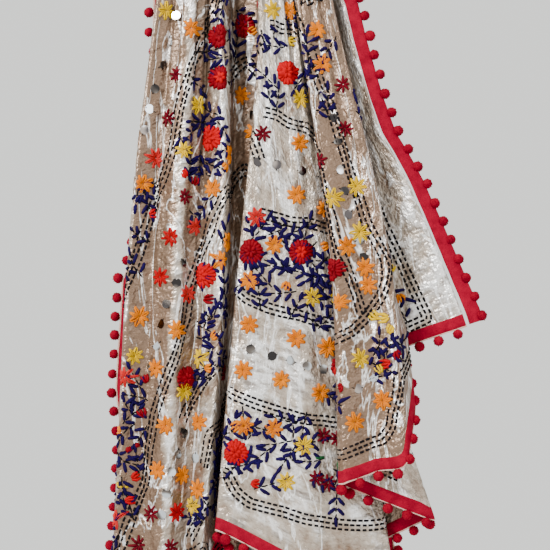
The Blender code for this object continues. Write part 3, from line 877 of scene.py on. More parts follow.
# how far the left edge's pompoms turn under, at drops in metres below the bar
TURNED_UNDER = {"back": ((0.33, 0.37, 0.53, 0.57), (0, 1, 1, 0)),
                "front": ((0.1, 0.2, 0.78, 0.84), (0, 1, 1, 0))}
BACK_AND_IN = np.array([0.35, 0.9, 0])


def pompom_places(lines, kind, edge):
    """Middles at an even pitch along the outer line, out in the cloth's plane and a little down.

    Where the left edge is turned under the outer crest they point back and inwards.
    """
    inner, outer = lines[0], lines[2]
    run = running_length(outer)
    wanted = np.arange(POMPOM_PITCH / 2, run[-1], POMPOM_PITCH)
    root = np.column_stack([np.interp(wanted, run, outer[:, axis]) for axis in range(3)])
    near = np.column_stack([np.interp(wanted, run, inner[:, axis]) for axis in range(3)])
    droop = np.array([0, 0, DROOP[kind]])
    out = unit(unit(root - near) - droop)
    if edge == "left" and kind in TURNED_UNDER:
        under = np.interp(-root[:, 2], *TURNED_UNDER[kind])[:, None]
        out = unit(out * (1 - under) + BACK_AND_IN * under)
    return root + out * POMPOM_REACH


BALL = yarn_ball(POMPOM_RADIUS, ENDS)
CORE = core_ball(CORE_SHARE * POMPOM_RADIUS, 7, 10)
hung = 0
for (kind, edge), lines in EDGES.items():
    middle = pompom_places(lines, kind, edge)
    middle = middle + dice.normal(0, 0.35 * MM, middle.shape)
    angles = dice.uniform(0, 2 * math.pi, (len(middle), 2))
    size = dice.uniform(0.93, 1.06, len(middle))[:, None, None]
    balls = [turned(points, angles) * size + middle[:, None] for points, faces in (BALL, CORE)]
    ride_on(joined("pompoms_" + edge + "_" + kind, balls, [BALL[1], CORE[1]], YARN_RED), "trim")
    hung += len(middle)
print(hung, "pompoms")

# %% [markdown]
# ## From flat places to the hanging cloth
#
# A motif's place is looked up on the grid: first the row that lies so far up
# from the hem, in every column, then the two columns that its place across
# falls between. Offsets inside a motif are true sizes on the surface, so a
# flower keeps its shape wherever the cloth is gathered or slanted.

# %% look up flat places
def sample(values, column, row):
    """Bilinear blend of the four grid values round each fractional place."""
    left = np.clip(np.floor(column).astype(int), 0, values.shape[0] - 2)
    top = np.clip(np.floor(row).astype(int), 0, values.shape[1] - 2)
    x, y = column - left, row - top
    if values.ndim == 3:
        x, y = x[..., None], y[..., None]
    upper = values[left, top] * (1 - x) + values[left + 1, top] * x
    lower = values[left, top + 1] * (1 - x) + values[left + 1, top + 1] * x
    return upper * (1 - y) + lower * y


def locate(cloth, across_at, up_at):
    """Fractional column and row of flat places, by a search over the columns."""
    columns, rows = cloth["up"].shape
    fall = (up_at[:, None] - cloth["slip"]) / cloth["low"]
    bar = (up_at[:, None] - cloth["low"]) / cloth["high"]
    first = cloth["first"]
    row = np.where(fall <= 1, rows - 1 - (rows - 1 - first) * fall, first * (1 - bar))
    row = np.clip(row, 0, rows - 1.001)
    whole = row.astype(int)
    number = np.arange(columns)
    wide = (cloth["across"][number, whole] * (1 - row + whole)
            + cloth["across"][number, whole + 1] * (row - whole))
    column = np.clip((wide <= across_at[:, None]).sum(axis=1) - 1, 0, columns - 2)
    each = np.arange(len(across_at))
    step = wide[each, column + 1] - wide[each, column]
    part = np.clip((across_at - wide[each, column]) / np.maximum(step, 1e-6), 0, 1)
    return column + part, row[each, column] * (1 - part) + row[each, column + 1] * part


REACH = 3


def surface_frame(cloth, column, row):
    """How far one column and one row go, and the unit directions of both, over a few cells."""
    last_column, last_row = np.array(cloth["up"].shape) - 1
    low, high = np.clip(column - REACH, 0, last_column), np.clip(column + REACH, 0, last_column)
    over_it, under = np.clip(row - REACH, 0, last_row), np.clip(row + REACH, 0, last_row)
    points = cloth["points"]
    wide = sample(points, high, row) - sample(points, low, row)
    tall = sample(points, column, under) - sample(points, column, over_it)
    rate_column = (sample(cloth["run"], high, row) - sample(cloth["run"], low, row)) / (high - low)
    rate_row = np.linalg.norm(tall, axis=-1) / (under - over_it)
    return rate_column, rate_row, unit(wide), unit(tall)


def on_cloth(cloth, across_at, up_at, side=None, rise=None):
    """Points and face normals at flat places, moved by side and rise metres on the surface.

    side runs square to the folds and rise up along them. With the unit steps c along the
    columns and r down a fold, side * (c - (c.r) r) / sin = (side / sin) c - side cot r.
    """
    column, row = locate(cloth, across_at, up_at)
    rate_column, rate_row, wide, tall = surface_frame(cloth, column, row)
    if side is not None:
        cosine = np.clip(np.sum(wide * tall, axis=1), -0.9, 0.9)
        sine = np.sqrt(1 - cosine * cosine)
        column = column[:, None] + side / (sine * rate_column)[:, None]
        row = row[:, None] - (rise + side * (cosine / sine)[:, None]) / rate_row[:, None]
        column = np.clip(column, 0, cloth["up"].shape[0] - 1)
        row = np.clip(row, 0, cloth["up"].shape[1] - 1)
    normal = unit(sample(cloth["normal"], column, row)) * cloth["face"]
    return sample(cloth["points"], column, row), normal


where_to = locate(FRONT, np.array([0.2, 0.7]), np.array([0.1, 0.3]))
print("column and row of two places", np.round(where_to, 1))

# %% [markdown]
# ## Strands of thread
#
# Every stitch is a small spindle: a round bundle of thread that starts and ends
# in a point where it goes through the cloth, and arches over it between. Its
# middle line is the parabola through three points on the cloth. All the strands
# of one colour on one fall are one mesh, built from arrays.

# %% strands
RING_SPAN = (0.1, 0.9)
# power of the sine that shapes a strand: the lower, the blunter its ends
BLUNTNESS = 0.3


def strand_pattern(rings, sides):
    """Triangles of a closed spindle: a fan at each end and bands between its rings."""
    ring = 1 + np.arange(rings * sides).reshape(rings, sides)
    after = np.roll(ring, -1, axis=1)
    low = np.stack([ring[:-1], after[:-1], after[1:]], axis=-1).reshape(-1, 3)
    high = np.stack([ring[:-1], after[1:], ring[1:]], axis=-1).reshape(-1, 3)
    start = np.stack([np.zeros(sides, int), after[0], ring[0]], axis=-1)
    end = np.stack([np.full(sides, rings * sides + 1), ring[-1], after[-1]], axis=-1)
    return np.concatenate([start, low, high, end])


def strand_points(line, normal, width, height, lift, rings, sides):
    """Spindles along lines of three points (count, 3, 3), for the pattern above.

    The middle line is start (1-t)(1-2t) + middle 4t(1-t) - end t(1-2t).
    """
    t = np.concatenate([[0], np.linspace(*RING_SPAN, rings), [1]])[None, :, None]
    start, middle, end = line[:, :1], line[:, 1:2], line[:, 2:]
    path = start * (1 - t) * (1 - 2 * t) + middle * 4 * t * (1 - t) - end * t * (1 - 2 * t)
    up_way = unit(normal.mean(axis=1))[:, None]
    along = unit(np.gradient(path, axis=1))
    sideways = unit(np.cross(along, up_way))
    profile = np.sin(math.pi * t) ** BLUNTNESS
    path = path + up_way * lift[:, None, None] * np.minimum(1, 3 * np.sin(math.pi * t))
    turn = math.pi / 2 + 2 * math.pi * np.arange(sides) / sides
    wide = sideways[:, :, None] * np.cos(turn)[None, None, :, None] * width[:, None, None, None] / 2
    high = up_way[:, :, None] * np.sin(turn)[None, None, :, None] * height[:, None, None, None] / 2
    rings_at = (path[:, :, None] + (wide + high) * profile[:, :, None])[:, 1:-1]
    rings_at = rings_at.reshape(len(line), rings * sides, 3)
    return np.concatenate([path[:, :1], rings_at, path[:, -1:]], axis=1)


SEWN = {}


def sew(fall, colour, line, normal, width, height, lift, rings=3, sides=4):
    """Keeps a batch of strands for the mesh of its fall and colour."""
    count = len(line)
    sizes = [np.broadcast_to(np.asarray(value, float) * MM, (count,)) for value in (width, height, lift)]
    points = strand_points(line, normal, *sizes, rings, sides)
    SEWN.setdefault((fall, colour), []).append((points, strand_pattern(rings, sides)))


print("a stitch has", len(strand_pattern(2, 3)), "triangles, a petal", len(strand_pattern(3, 4)))

# %% [markdown]
# ## Rows of running stitch
#
# Bands are parted by three close rows of black running stitch, which also frame
# the whole cloth inside its edge. A row is a line of flat places. It is followed
# on the hanging cloth, so that its stitches keep their length in every fold.

# %% running stitch
STITCH, STITCH_GAP = 5.6 * MM, 1.1 * MM
ROW_PITCH = 5.0 * MM
# width, height and lift of a stitch, in millimetres
FLOSS_SIZE = (4.0, 2.6, 0.9)


def stitch_row(cloth, line, offset):
    """Lines of three points for stitches along a polyline, moved sideways by offset."""
    corners = np.array(line, float) * MM
    run = running_length(corners)
    steps = np.linspace(0, run[-1], max(4, int(run[-1] / (4 * MM))))
    wide_at, up_at = np.interp(steps, run, corners[:, 0]), np.interp(steps, run, corners[:, 1])
    column, row = locate(cloth, wide_at, up_at)
    wide, tall = surface_frame(cloth, column, row)[2:]
    points, normal = on_cloth(cloth, wide_at, up_at)
    square = np.cross(normal, unit(np.gradient(points, axis=0)))
    side_way = unit(wide - tall * np.sum(wide * tall, axis=1, keepdims=True))
    side = offset * np.sum(square * side_way, axis=1)[:, None]
    rise = -offset * np.sum(square * tall, axis=1)[:, None]
    points, normal = on_cloth(cloth, wide_at, up_at, side, rise)
    real = running_length(points[:, 0])
    first = np.arange(STITCH_GAP, real[-1] - STITCH, STITCH + STITCH_GAP)
    first = first + dice.normal(0, 0.12 * STITCH_GAP, len(first))
    at = first[:, None] + STITCH * dice.uniform(0.85, 1.08, (len(first), 1)) * np.array([0, 0.5, 1])
    return [np.stack([np.interp(at, real, values[:, 0, axis]) for axis in range(3)], axis=-1)
            for values in (points, normal)]


def triple(fall, cloth, line, face=1):
    """Three rows side by side, on the face of the cloth or, where a fold shows it, on its reverse."""
    for offset in (-ROW_PITCH, 0, ROW_PITCH):
        stitches, normal = stitch_row(cloth, line, offset)
        sew(fall, "black", stitches, normal * face, *FLOSS_SIZE, rings=2, sides=3)


FRONT_TRIPLES = (
    # frame: down inside the right edge, along the hem and up inside the left edge
    ((43, 660), (43, 130), (36, 20), (64, 18), (120, 40), (185, 85), (206, 60), (216, 44),
     (232, 31), (276, 29), (340, 35), (440, 42), (560, 55), (654, 58), (692, 54), (729, 44),
     (746, 48), (763, 63), (800, 50), (900, 43), (1268, 43), (1268, 900)),
    # lengthwise on the right side, with the row that closes it above the hem
    ((118, 660), (132, 520), (150, 345), (158, 330), (195, 238), (199, 164)),
    ((270, 146), (235, 150), (217, 152), (198, 160), (172, 180), (150, 205), (147, 262), (135, 312),
     (112, 380), (92, 470), (85, 660)),
    # across the middle
    ((560, 165), (685, 166), (722, 159), (755, 150), (780, 145), (800, 150)),
    ((560, 275), (718, 272), (746, 271), (777, 257), (801, 250), (820, 255)),
    ((620, 372), (745, 373), (777, 376), (806, 360), (827, 345)),
    ((680, 470), (798, 471), (820, 481), (849, 469), (865, 450)),
    ((700, 577), (840, 578), (851, 587), (868, 571), (880, 545)),
    ((875, 513), (947, 571), (1002, 552)),
    ((700, 680), (880, 680)),
    # lengthwise on the left side
    ((1010, 800), (1025, 690), (1035, 645), (1056, 607), (1071, 568), (1069, 524), (1064, 489),
     (1067, 445), (1068, 400), (1070, 360), (1072, 300), (1075, 200), (1080, 55)),
    ((845, 400), (912, 454), (964, 430), (977, 401), (982, 362), (983, 330), (979, 300), (983, 243),
     (990, 205), (986, 168), (979, 134), (983, 109), (988, 70), (990, 55)),
    ((895, 250), (915, 237), (933, 228), (942, 207), (948, 190)),
    ((848, 213), (880, 195), (901, 163), (899, 131)), ((875, 98), (899, 58)),
    # higher up, towards the bar
    ((820, 680), (1260, 680)), ((880, 777), (1268, 777)), ((990, 868), (1268, 868)),
    ((20, 505), (100, 505)), ((20, 600), (100, 600)))
for line in FRONT_TRIPLES:
    triple("front", FRONT, line)
triple("front", FRONT, ((232, 44), (276, 38), (300, 34), (340, 36)), face=-1)

# the back in millimetres: its width and top, how far in the frames lie, and a band's height
WIDE, TOP, FRAME, INNER_FRAME, BAND = 1038, 1300, 43, 112, 97.5
BANDS = 12
BACK_TRIPLES = [((FRAME, TOP), (FRAME, FRAME), (WIDE - FRAME, FRAME), (WIDE - FRAME, TOP)),
                ((INNER_FRAME, TOP), (INNER_FRAME, FRAME)),
                ((WIDE - INNER_FRAME, TOP), (WIDE - INNER_FRAME, FRAME))]
BACK_TRIPLES += [((117, up), (WIDE - 117, up)) for up in FRAME + BAND * np.arange(1, BANDS + 1)]
for line in BACK_TRIPLES:
    triple("back", BACK, line)
print("running stitches", sum(len(points) for batch in SEWN.values() for points, faces in batch))

# %% [markdown]
# ## Flowers, leaves and knots
#
# Star flowers have eight petals, each of two thick strands laid side by side,
# with a slit between. Roses are padded: a ring of wide stitches with a scalloped
# edge, and a raised ring inside it. Leaves are single fat stitches in pairs on a
# black stem, and a bud is three stitches in a fan.

# %% motif charts, in millimetres round the motif's middle
Strand = namedtuple("Strand", "colour start middle end width height lift")


def polar(radius, degrees, side=0.0):
    """(radius, side) turned to an angle, in the motif's plane."""
    c, s = math.cos(math.radians(degrees)), math.sin(math.radians(degrees))
    return (radius * c - side * s, radius * s + side * c)


def star(colour, floss=2.1):
    """Eight petals of two strands, with the width of a strand in millimetres."""
    return [Strand(colour, polar(0.3, angle), polar(5.6, angle, side), polar(11.0, angle), floss, 3.6, 0.9)
            for angle in range(0, 360, 45) for side in (-1.1, 1.1)]


def small_star(colour):
    """Eight single petals with a slight swirl."""
    return [Strand(colour, polar(0.5, angle), polar(5.0, angle + 3), polar(9.6, angle + 6), 3.3, 3.2, 0.8)
            for angle in range(0, 360, 45)]


def rose(outer, inner):
    """Padding under a ring of wide stitches, with a raised heart."""
    padding = [Strand(outer, polar(-12, angle), (0, 0), polar(12, angle), 13.0, 4.0, 0.3)
               for angle in (0, 60, 120)]
    rim = [Strand(outer, polar(3.0, angle), polar(9.0, angle), polar(14.2 - 0.6 * (angle % 40 == 0), angle),
                  5.6, 3.8, 0.7) for angle in range(0, 360, 20)]
    heart = [Strand(inner, polar(0.2, angle), polar(3.6, angle), polar(7.2, angle), 5.2, 4.0, 2.0)
             for angle in range(10, 370, 60)]
    return padding + rim + heart


def bud(colour):
    """Three stitches in a fan."""
    return [Strand(colour, polar(0.5, 90 + lean), polar(5.5, 90 + lean), polar(10.5, 90 + lean / 2),
                   3.8, 3.6, 0.9) for lean in (-38, 0, 38)]


def leaf(at, lean):
    """A fat stitch that leaves the stem at a height and leans to one side."""
    c, s = math.sin(math.radians(lean)), math.cos(math.radians(lean))
    return Strand("navy", (1.0 * c, at + 1.0 * s), (7.0 * c, at + 6.4 * s), (12.8 * c, at + 12.2 * s),
                  4.3, 3.4, 0.8)


def stem(points):
    """Short black stitches between points on the stem."""
    made = []
    for (x0, y0), (x1, y1) in zip(points[:-1], points[1:]):
        places = [(x0 + (x1 - x0) * part, y0 + (y1 - y0) * part) for part in (0, 0.5, 0.88)]
        made.append(Strand("black", *places, 1.8, 2.0, 0.6))
    return made


def sprig(pairs):
    """Pairs of leaves up a stem, with one more at its tip."""
    leaves = [leaf(-11 * pairs / 2 + 11 * number, lean) for number in range(pairs) for lean in (-46, 44)]
    line = [(0.0, -11 * pairs / 2 - 5 + 7.6 * number) for number in range(2 * pairs + 1)]
    return leaves + [leaf(11 * pairs / 2 - 2, 4)] + stem(line)


def curl():
    """A hook of stem with one leaf outside it."""
    line = [polar(6.5, angle) for angle in range(-80, 130, 42)]
    return stem(line) + [leaf(3.0, 60), leaf(-4.0, -120)]


def cherry():
    """Three short stitches crossed into a round knot."""
    return [Strand("crimson", polar(-3.4, angle), (0, 0), polar(3.4, angle), 4.0, 3.8, 0.9)
            for angle in (0, 60, 120)]


def mirror_ties():
    """Short stitches over a mirror's rim."""
    return [Strand("black", polar(6.3, angle), polar(5.0, angle), polar(3.8, angle), 1.1, 1.5, 0.9)
            for angle in (15, 170)]


def mirror_tail():
    """A fine thread that leads on to the next mirror."""
    return [Strand("black", (0, 5.5), (0, 12), (0, 18), 0.5, 0.9, 0.0)]


MOTIFS = {"star_" + colour: star(colour) for colour in ("yellow", "red", "salmon")}
MOTIFS["star_orange"] = star("orange", 2.7)
MOTIFS.update({
    "star_maroon": small_star("maroon"), "rose_red": rose("red", "red"),
    "rose_crimson": rose("crimson", "crimson"), "rose_bright": rose("crimson", "red"),
    "bud_green": [leaf(0, 40)._replace(colour="green")], "cherry": cherry(), "sprig": sprig(2),
    "pair": sprig(1), "curl": curl(), "mirror": mirror_ties(), "tail": mirror_tail()})
MOTIFS.update({"bud_" + colour: bud(colour) for colour in ("orange", "yellow", "red", "crimson")})
print({name: len(strands) for name, strands in MOTIFS.items()})

# %% [markdown]
# ## The front's layout
#
# Each row gives a motif and the places where it is sewn: millimetres across
# from the right seam and up from the hem seam. Bands of flowers and leaves lie
# between bands of scattered stars with a chain of mirrors.

# %% places on the front
FRONT_PLACES = {
    "star_orange": (
        (820, 460), (800, 400), (915, 490), (790, 226), (740, 244), (705, 245), (780, 176), (740, 191),
        (697, 195), (760, 120), (80, 470), (92, 433), (182, 240), (176, 213), (182, 194), (730, 136),
        (1085, 610), (990, 430), (950, 350), (945, 372), (1090, 455), (945, 535), (220, 186), (214, 72),
        (252, 58), (1004, 254), (990, 290), (1042, 313), (969, 191), (965, 145), (925, 184), (928, 132),
        (765, 395), (902, 112), (805, 270), (797, 328), (975, 470)),
    "star_yellow": (
        (875, 580), (830, 510), (740, 296), (166, 294), (137, 298), (220, 121), (700, 87), (695, 134),
        (1135, 640), (1045, 525), (1050, 480), (1035, 272), (955, 222), (905, 95), (713, 303), (160, 250),
        (945, 252)),
    "star_maroon": (
        (855, 430), (1090, 565), (1085, 520), (1030, 430), (87, 407), (152, 337), (678, 150), (663, 149),
        (671, 103), (657, 100), (961, 100), (966, 69), (924, 60), (885, 255), (112, 360)),
    "star_red": ((1030, 350), (1030, 390), (926, 95)),
    "cherry": ((1010, 173), (1001, 176)),
    "star_salmon": ((1085, 480), (1000, 395), (985, 325), (825, 340), (1039, 251), (1000, 100)),
    "rose_red": ((850, 530), (1015, 485), (970, 340), (760, 88)),
    "rose_bright": ((770, 340), (1017, 545)),
    "rose_crimson": ((815, 300), (1030, 590), (955, 235), (682, 226), (212, 222), (960, 610)),
    "bud_orange": ((770, 300), (935, 270), (980, 450), (935, 240), (765, 120), (55, 56), (745, 357),
                   (950, 600), (1024, 193)),
    "bud_yellow": ((855, 570), (57, 82), (185, 157), (172, 157), (205, 100), (180, 140), (1012, 141)),
    "bud_red": ((1035, 450), (735, 66), (1070, 420), (190, 110), (255, 112), (700, 345),
                (997, 141), (998, 119)),
    "bud_crimson": ((1020, 440), (250, 100), (930, 600), (890, 562), (180, 120), (960, 315),
                    (1010, 240), (1002, 204)),
    "bud_green": ((668, 127), (655, 126)),
    "curl": ((95, 448), (865, 560), (800, 285), (735, 315), (1000, 450), (700, 120), (945, 300),
             (1010, 215)),
}
LEAFY = (
    (960, 620), (965, 590), (870, 535), (850, 595), (105, 447), (930, 565), (853, 487), (868, 492),
    (828, 530), (93, 462), (103, 433), (80, 447), (108, 395), (803, 340), (775, 368), (785, 307),
    (740, 345), (757, 318), (795, 285), (770, 283), (742, 322), (790, 262), (807, 300), (742, 288),
    (722, 322), (722, 297), (700, 310), (690, 340), (762, 125), (722, 122), (735, 97), (707, 112),
    (702, 155), (715, 75), (747, 80), (682, 120), (640, 110), (640, 75), (675, 200), (262, 82),
    (195, 130), (186, 125), (200, 105), (178, 122), (168, 110), (60, 40), (66, 62), (62, 100),
    (68, 140), (72, 190), (75, 240), (78, 300), (80, 360), (1045, 580), (1020, 565), (1050, 545),
    (1020, 512), (1037, 507), (1045, 497), (1000, 492), (1020, 460), (993, 452), (985, 467),
    (1035, 462), (995, 413), (1075, 432), (1082, 447), (1075, 400), (1070, 370), (955, 377),
    (960, 345), (935, 322), (937, 300), (947, 282), (925, 265), (907, 253), (930, 240), (942, 230),
    (915, 310), (1026, 248), (1018, 228), (1018, 209), (1022, 190), (1000, 184), (1012, 162),
    (995, 158), (1003, 130), (990, 113), (1006, 92), (997, 74), (1010, 62), (875, 160), (837, 147),
    (855, 176), (861, 161), (870, 134), (838, 119), (899, 90),
    (770, 107), (900, 82), (880, 88), (1035, 610), (1025, 640), (900, 545), (905, 590), (880, 620),
    (1000, 610), (985, 580), (816, 332), (803, 352), (783, 348), (764, 340), (772, 322), (735, 304),
    (719, 340), (752, 276), (716, 276), (808, 262), (741, 128), (724, 150), (690, 140), (665, 100))
MIRRORS = (
    (925, 510), (830, 415), (805, 430), (780, 428), (847, 396), (115, 375), (125, 350), (140, 320),
    (150, 297), (160, 272), (165, 242), (170, 225), (757, 210), (737, 218), (720, 220), (702, 221),
    (685, 222), (780, 202), (235, 91), (215, 97), (1005, 360), (1006, 340), (1010, 320), (1011, 300),
    (1010, 278), (1010, 256), (1115, 630), (1115, 605), (1115, 580), (1115, 556), (1113, 535),
    (1110, 513), (941, 177), (943, 157), (916, 146), (948, 140), (947, 119), (945, 97), (110, 400))


def repeated(cell, step, box):
    """A chart's places shifted by whole steps over a box of flat places."""
    left, right, low, high = box
    wide, tall = step
    shift_x, shift_y = np.meshgrid(np.arange(left, right, wide), np.arange(low, high, tall))
    shifts = np.column_stack([shift_x.ravel(), shift_y.ravel()])
    places = {}
    for name, spots in cell.items():
        spots = (shifts[:, None] + np.array(spots, float)[None]).reshape(-1, 2)
        inside = (spots[:, 0] < right - 8) & (spots[:, 1] < high - 8)
        places[name] = spots[inside]
    return places


# charts of one repeat, for the bands that go on above and behind
CHART_WIDTH, BORDER_REPEAT = 132, (70, 110)
FLORAL = {"rose_bright": ((32, 48),), "rose_red": ((100, 56),), "star_orange": ((64, 24),),
          "star_yellow": ((66, 74), (128, 24)), "bud_orange": ((18, 76),), "bud_crimson": ((98, 22),),
          "sprig": ((12, 24), (52, 50), (38, 16), (84, 76), (82, 40), (118, 78), (40, 78), (122, 48),
                    (8, 54), (86, 14))}
SCATTER = {"star_orange": ((22, 24), (66, 24), (110, 24)), "star_maroon": ((44, 72), (88, 72), (0, 72)),
           "mirror": ((10, 48), (36, 46), (62, 48), (88, 46), (114, 48))}
BORDER = {"rose_bright": ((35, 20),), "sprig": ((24, 50), (46, 62), (28, 84), (44, 102)),
          "star_orange": ((36, 78),)}
print("front motifs", sum(len(spots) for spots in FRONT_PLACES.values()), "and", len(LEAFY), "sprigs")

# %% [markdown]
# ## Sewing the motifs
#
# No two flowers sewn by hand are alike, and copies of one mesh would show that
# they are copies. So each motif is laid out anew at every place: turned, a
# little larger or smaller, and with the ends of its strands moved by a fraction
# of a millimetre. All the copies of a strand are worked out together.

# %% sew every motif
CLOTHS = {"front": FRONT, "back": BACK}
# a strand that a fold stretches past this is left out
LONGEST = 1.8
# how far the back's bands and its borders go, in millimetres
BAND_SIDES, BORDER_HEIGHTS = (118, WIDE - 125), (55, 1180)


def sew_motif(fall, name, spots, turns, loose=0.05):
    """All copies of one motif: each strand of its chart at every place."""
    spots = np.asarray(spots, float) * MM
    if not len(spots):
        return
    turn = np.radians(turns) + dice.normal(0, 0.12, len(spots))
    size = dice.normal(1, loose, (len(spots), 1))
    c, s = np.cos(turn)[:, None], np.sin(turn)[:, None]
    for strand in MOTIFS[name]:
        local = np.array([strand.start, strand.middle, strand.end]) * MM
        local = local[None] * size[:, :, None] + dice.normal(0, 0.25 * MM, (len(spots), 3, 2))
        side = local[:, :, 0] * c - local[:, :, 1] * s
        rise = local[:, :, 0] * s + local[:, :, 1] * c
        line, normal = on_cloth(CLOTHS[fall], spots[:, 0], spots[:, 1], side, rise)
        flat_reach = np.linalg.norm(local[:, 2] - local[:, 0], axis=-1)
        whole = np.linalg.norm(line[:, 2] - line[:, 0], axis=-1) < LONGEST * flat_reach
        sew(fall, strand.colour, line[whole], normal[whole], strand.width, strand.height, strand.lift)


def any_turns(count):
    """Any angle at all, in degrees."""
    return dice.uniform(0, 360, count)


MIRROR_PLACES = {"front": [np.array(MIRRORS, float)], "back": []}
for name, spots in FRONT_PLACES.items():
    sew_motif("front", name, spots, any_turns(len(spots)))
sew_motif("front", "sprig", LEAFY, any_turns(len(LEAFY)))
sew_motif("front", "pair", np.array(LEAFY[::2]) + (9, -8), any_turns(len(LEAFY[::2])))

FILLS = [
    ("front", FLORAL, (300, 600, 58, 150)), ("front", SCATTER, (300, 600, 165, 262)),
    ("front", FLORAL, (300, 600, 275, 372)), ("front", FLORAL, (700, 880, 680, 780)),
    ("front", SCATTER, (700, 880, 582, 680)), ("front", FLORAL, (1090, 1260, 60, 380)),
    ("front", FLORAL, (880, 1280, 688, 777)), ("front", SCATTER, (940, 1290, 784, 866)),
    ("front", FLORAL, (1080, 1290, 872, 960)), ("front", SCATTER, (20, 106, 510, 600)),
    ("front", FLORAL, (20, 106, 606, 700))]
for number in range(BANDS):
    box = (*BAND_SIDES, FRAME + BAND * number, FRAME + BAND * (number + 1))
    FILLS.append(("back", SCATTER if number % 2 else FLORAL, box))
for fall, cell, box in FILLS:
    for name, spots in repeated(cell, (CHART_WIDTH, BAND), box).items():
        if name == "mirror":
            MIRROR_PLACES[fall].append(spots)
        else:
            sew_motif(fall, name, spots, any_turns(len(spots)))
for left in (FRAME, WIDE - INNER_FRAME):
    box = (left, left + INNER_FRAME - FRAME, *BORDER_HEIGHTS)
    for name, spots in repeated(BORDER, BORDER_REPEAT, box).items():
        sew_motif("back", name, spots, any_turns(len(spots)))
print("strands so far", sum(len(points) for batches in SEWN.values() for points, faces in batches))

# %% [markdown]
# ## Mirrors
#
# Small round mirrors are the other half of this work. Each is a thin disc laid
# on the cloth and held by a few black stitches over its rim, with a fine thread
# between neighbours. A disc is a rim and two faces, turned to its own normal.

# %% mirror discs
MIRROR_RADIUS = 5.0 * MM
MIRROR_THICKNESS = 0.5 * MM
MIRROR_LIFT = 0.75 * MM
DISC_SIDES = 12
# the way of the thread to the next mirror, in degrees from up the cloth
CHAIN_TURN = {"front": 0.0, "back": 90.0}


def disc_pattern(sides):
    """Two fans and the wall between their rims."""
    rim = np.arange(sides)
    after = np.roll(rim, -1)
    top = np.stack([np.full(sides, 2 * sides), rim, after], axis=-1)
    foot = np.stack([np.full(sides, 2 * sides + 1), after + sides, rim + sides], axis=-1)
    wall = np.concatenate([np.stack([rim, rim + sides, after], axis=-1),
                           np.stack([after, rim + sides, after + sides], axis=-1)])
    return np.concatenate([top, foot, wall])


def disc_points(middle, normal, sides):
    """Two rings and two middles for each disc, square to its normal."""
    side = unit(np.cross(normal, np.array([0.3, 0.2, 1.0])))
    other = np.cross(normal, side)
    turn = 2 * math.pi * np.arange(sides) / sides
    ring = MIRROR_RADIUS * (side[:, None] * np.cos(turn)[None, :, None]
                            + other[:, None] * np.sin(turn)[None, :, None])
    top = (middle + normal * (MIRROR_LIFT + MIRROR_THICKNESS / 2))[:, None]
    foot = (middle + normal * (MIRROR_LIFT - MIRROR_THICKNESS / 2))[:, None]
    return np.concatenate([top + ring, foot + ring, top, foot], axis=1)


DISCS = {}
for fall, cloth in CLOTHS.items():
    spots = np.concatenate(MIRROR_PLACES[fall])
    turns = any_turns(len(spots))
    sew_motif(fall, "mirror", spots, turns, loose=0.0)
    sew_motif(fall, "tail", spots, np.full(len(spots), CHAIN_TURN[fall]))
    middle, normal = on_cloth(cloth, spots[:, 0] * MM, spots[:, 1] * MM)
    normal = unit(normal + dice.normal(0, 0.12, normal.shape))
    DISCS[fall] = disc_points(middle, normal, DISC_SIDES)
    print(fall, len(spots), "mirrors")

# %% [markdown]
# ## Thread colours
#
# Floss is dyed deep and covers its cloth. Its colour runs between a dark and a
# light tone along the thread, which reads as twist. One mesh holds all the
# strands of a colour on a fall, so that a few pieces carry thousands of stitches.

# %% thread meshes
FLOSS = {
    "black": ((0.001, 0.001, 0.002), (0.006, 0.005, 0.008)),
    "navy": ((0.003, 0.0001, 0.017), (0.006, 0.0003, 0.050)),
    "red": ((0.24, 0.0001, 0.002), (0.44, 0.0006, 0.005)),
    "crimson": ((0.10, 0.0002, 0.003), (0.21, 0.0008, 0.007)),
    "maroon": ((0.06, 0.0004, 0.004), (0.13, 0.0016, 0.009)),
    "salmon": ((0.34, 0.007, 0.007), (0.50, 0.026, 0.022)),
    "orange": ((0.44, 0.095, 0.0001), (0.62, 0.185, 0.0006)),
    "yellow": ((0.45, 0.27, 0.0001), (0.66, 0.43, 0.001)),
    "green": ((0.005, 0.045, 0.012), (0.012, 0.09, 0.028))}
THREADS = {colour: thread_material(colour + "_floss", dark, light, 0.7 if colour == "black" else 0.6)
           for colour, (dark, light) in FLOSS.items()}
total = 0
for (fall, colour), batches in SEWN.items():
    piece = joined("thread_" + colour + "_" + fall, [points for points, faces in batches],
                   [faces for points, faces in batches], THREADS[colour])
    ride_on(piece, "cloth")
    total += len(piece.data.polygons)
    print(piece.name, len(piece.data.polygons), "triangles")
print("thread triangles", total)

# %% [markdown]
# ## Silvered glass
#
# The mirrors are thin glass, silvered behind. Each looks bright, grey or nearly
# black by what it mirrors, and that is painted into its colour: large soft noise
# picks one for each disc, in the colour as a painted reflection and in the gloss,
# because a disc is smaller than one patch of the noise.

# %% mirrors with painted reflections
def silvered_glass():
    """Near-mirror silver, dark, grey or bright in soft patches as a painted reflection."""
    made, tree, shader = new_material("silvered_glass")
    place = add_node(tree, "ShaderNodeTexCoord").outputs["Object"]
    reflection_and_gloss = noise(tree, place, 45.0, 1.0)
    finish_shader(tree, shader, {
        # dark, grey and bright discs: painted reflection in the colour
        "Base Color": ramp(tree, reflection_and_gloss, [(0.46, (0.05, 0.045, 0.045)), (0.54, (0.22, 0.19, 0.17)),
                                          (0.60, (0.74, 0.78, 0.82))]),
        "Roughness": ramp(tree, reflection_and_gloss, [(0.35, 0.16), (0.65, 0.05)])}, {"Metallic": 1.0})
    return made


GLASS = silvered_glass()
for fall, discs in DISCS.items():
    ride_on(joined("mirrors_" + fall, [discs], [disc_pattern(DISC_SIDES)], GLASS, False), "cloth")
print(sum(len(discs) for discs in DISCS.values()), "discs of", GLASS.name)

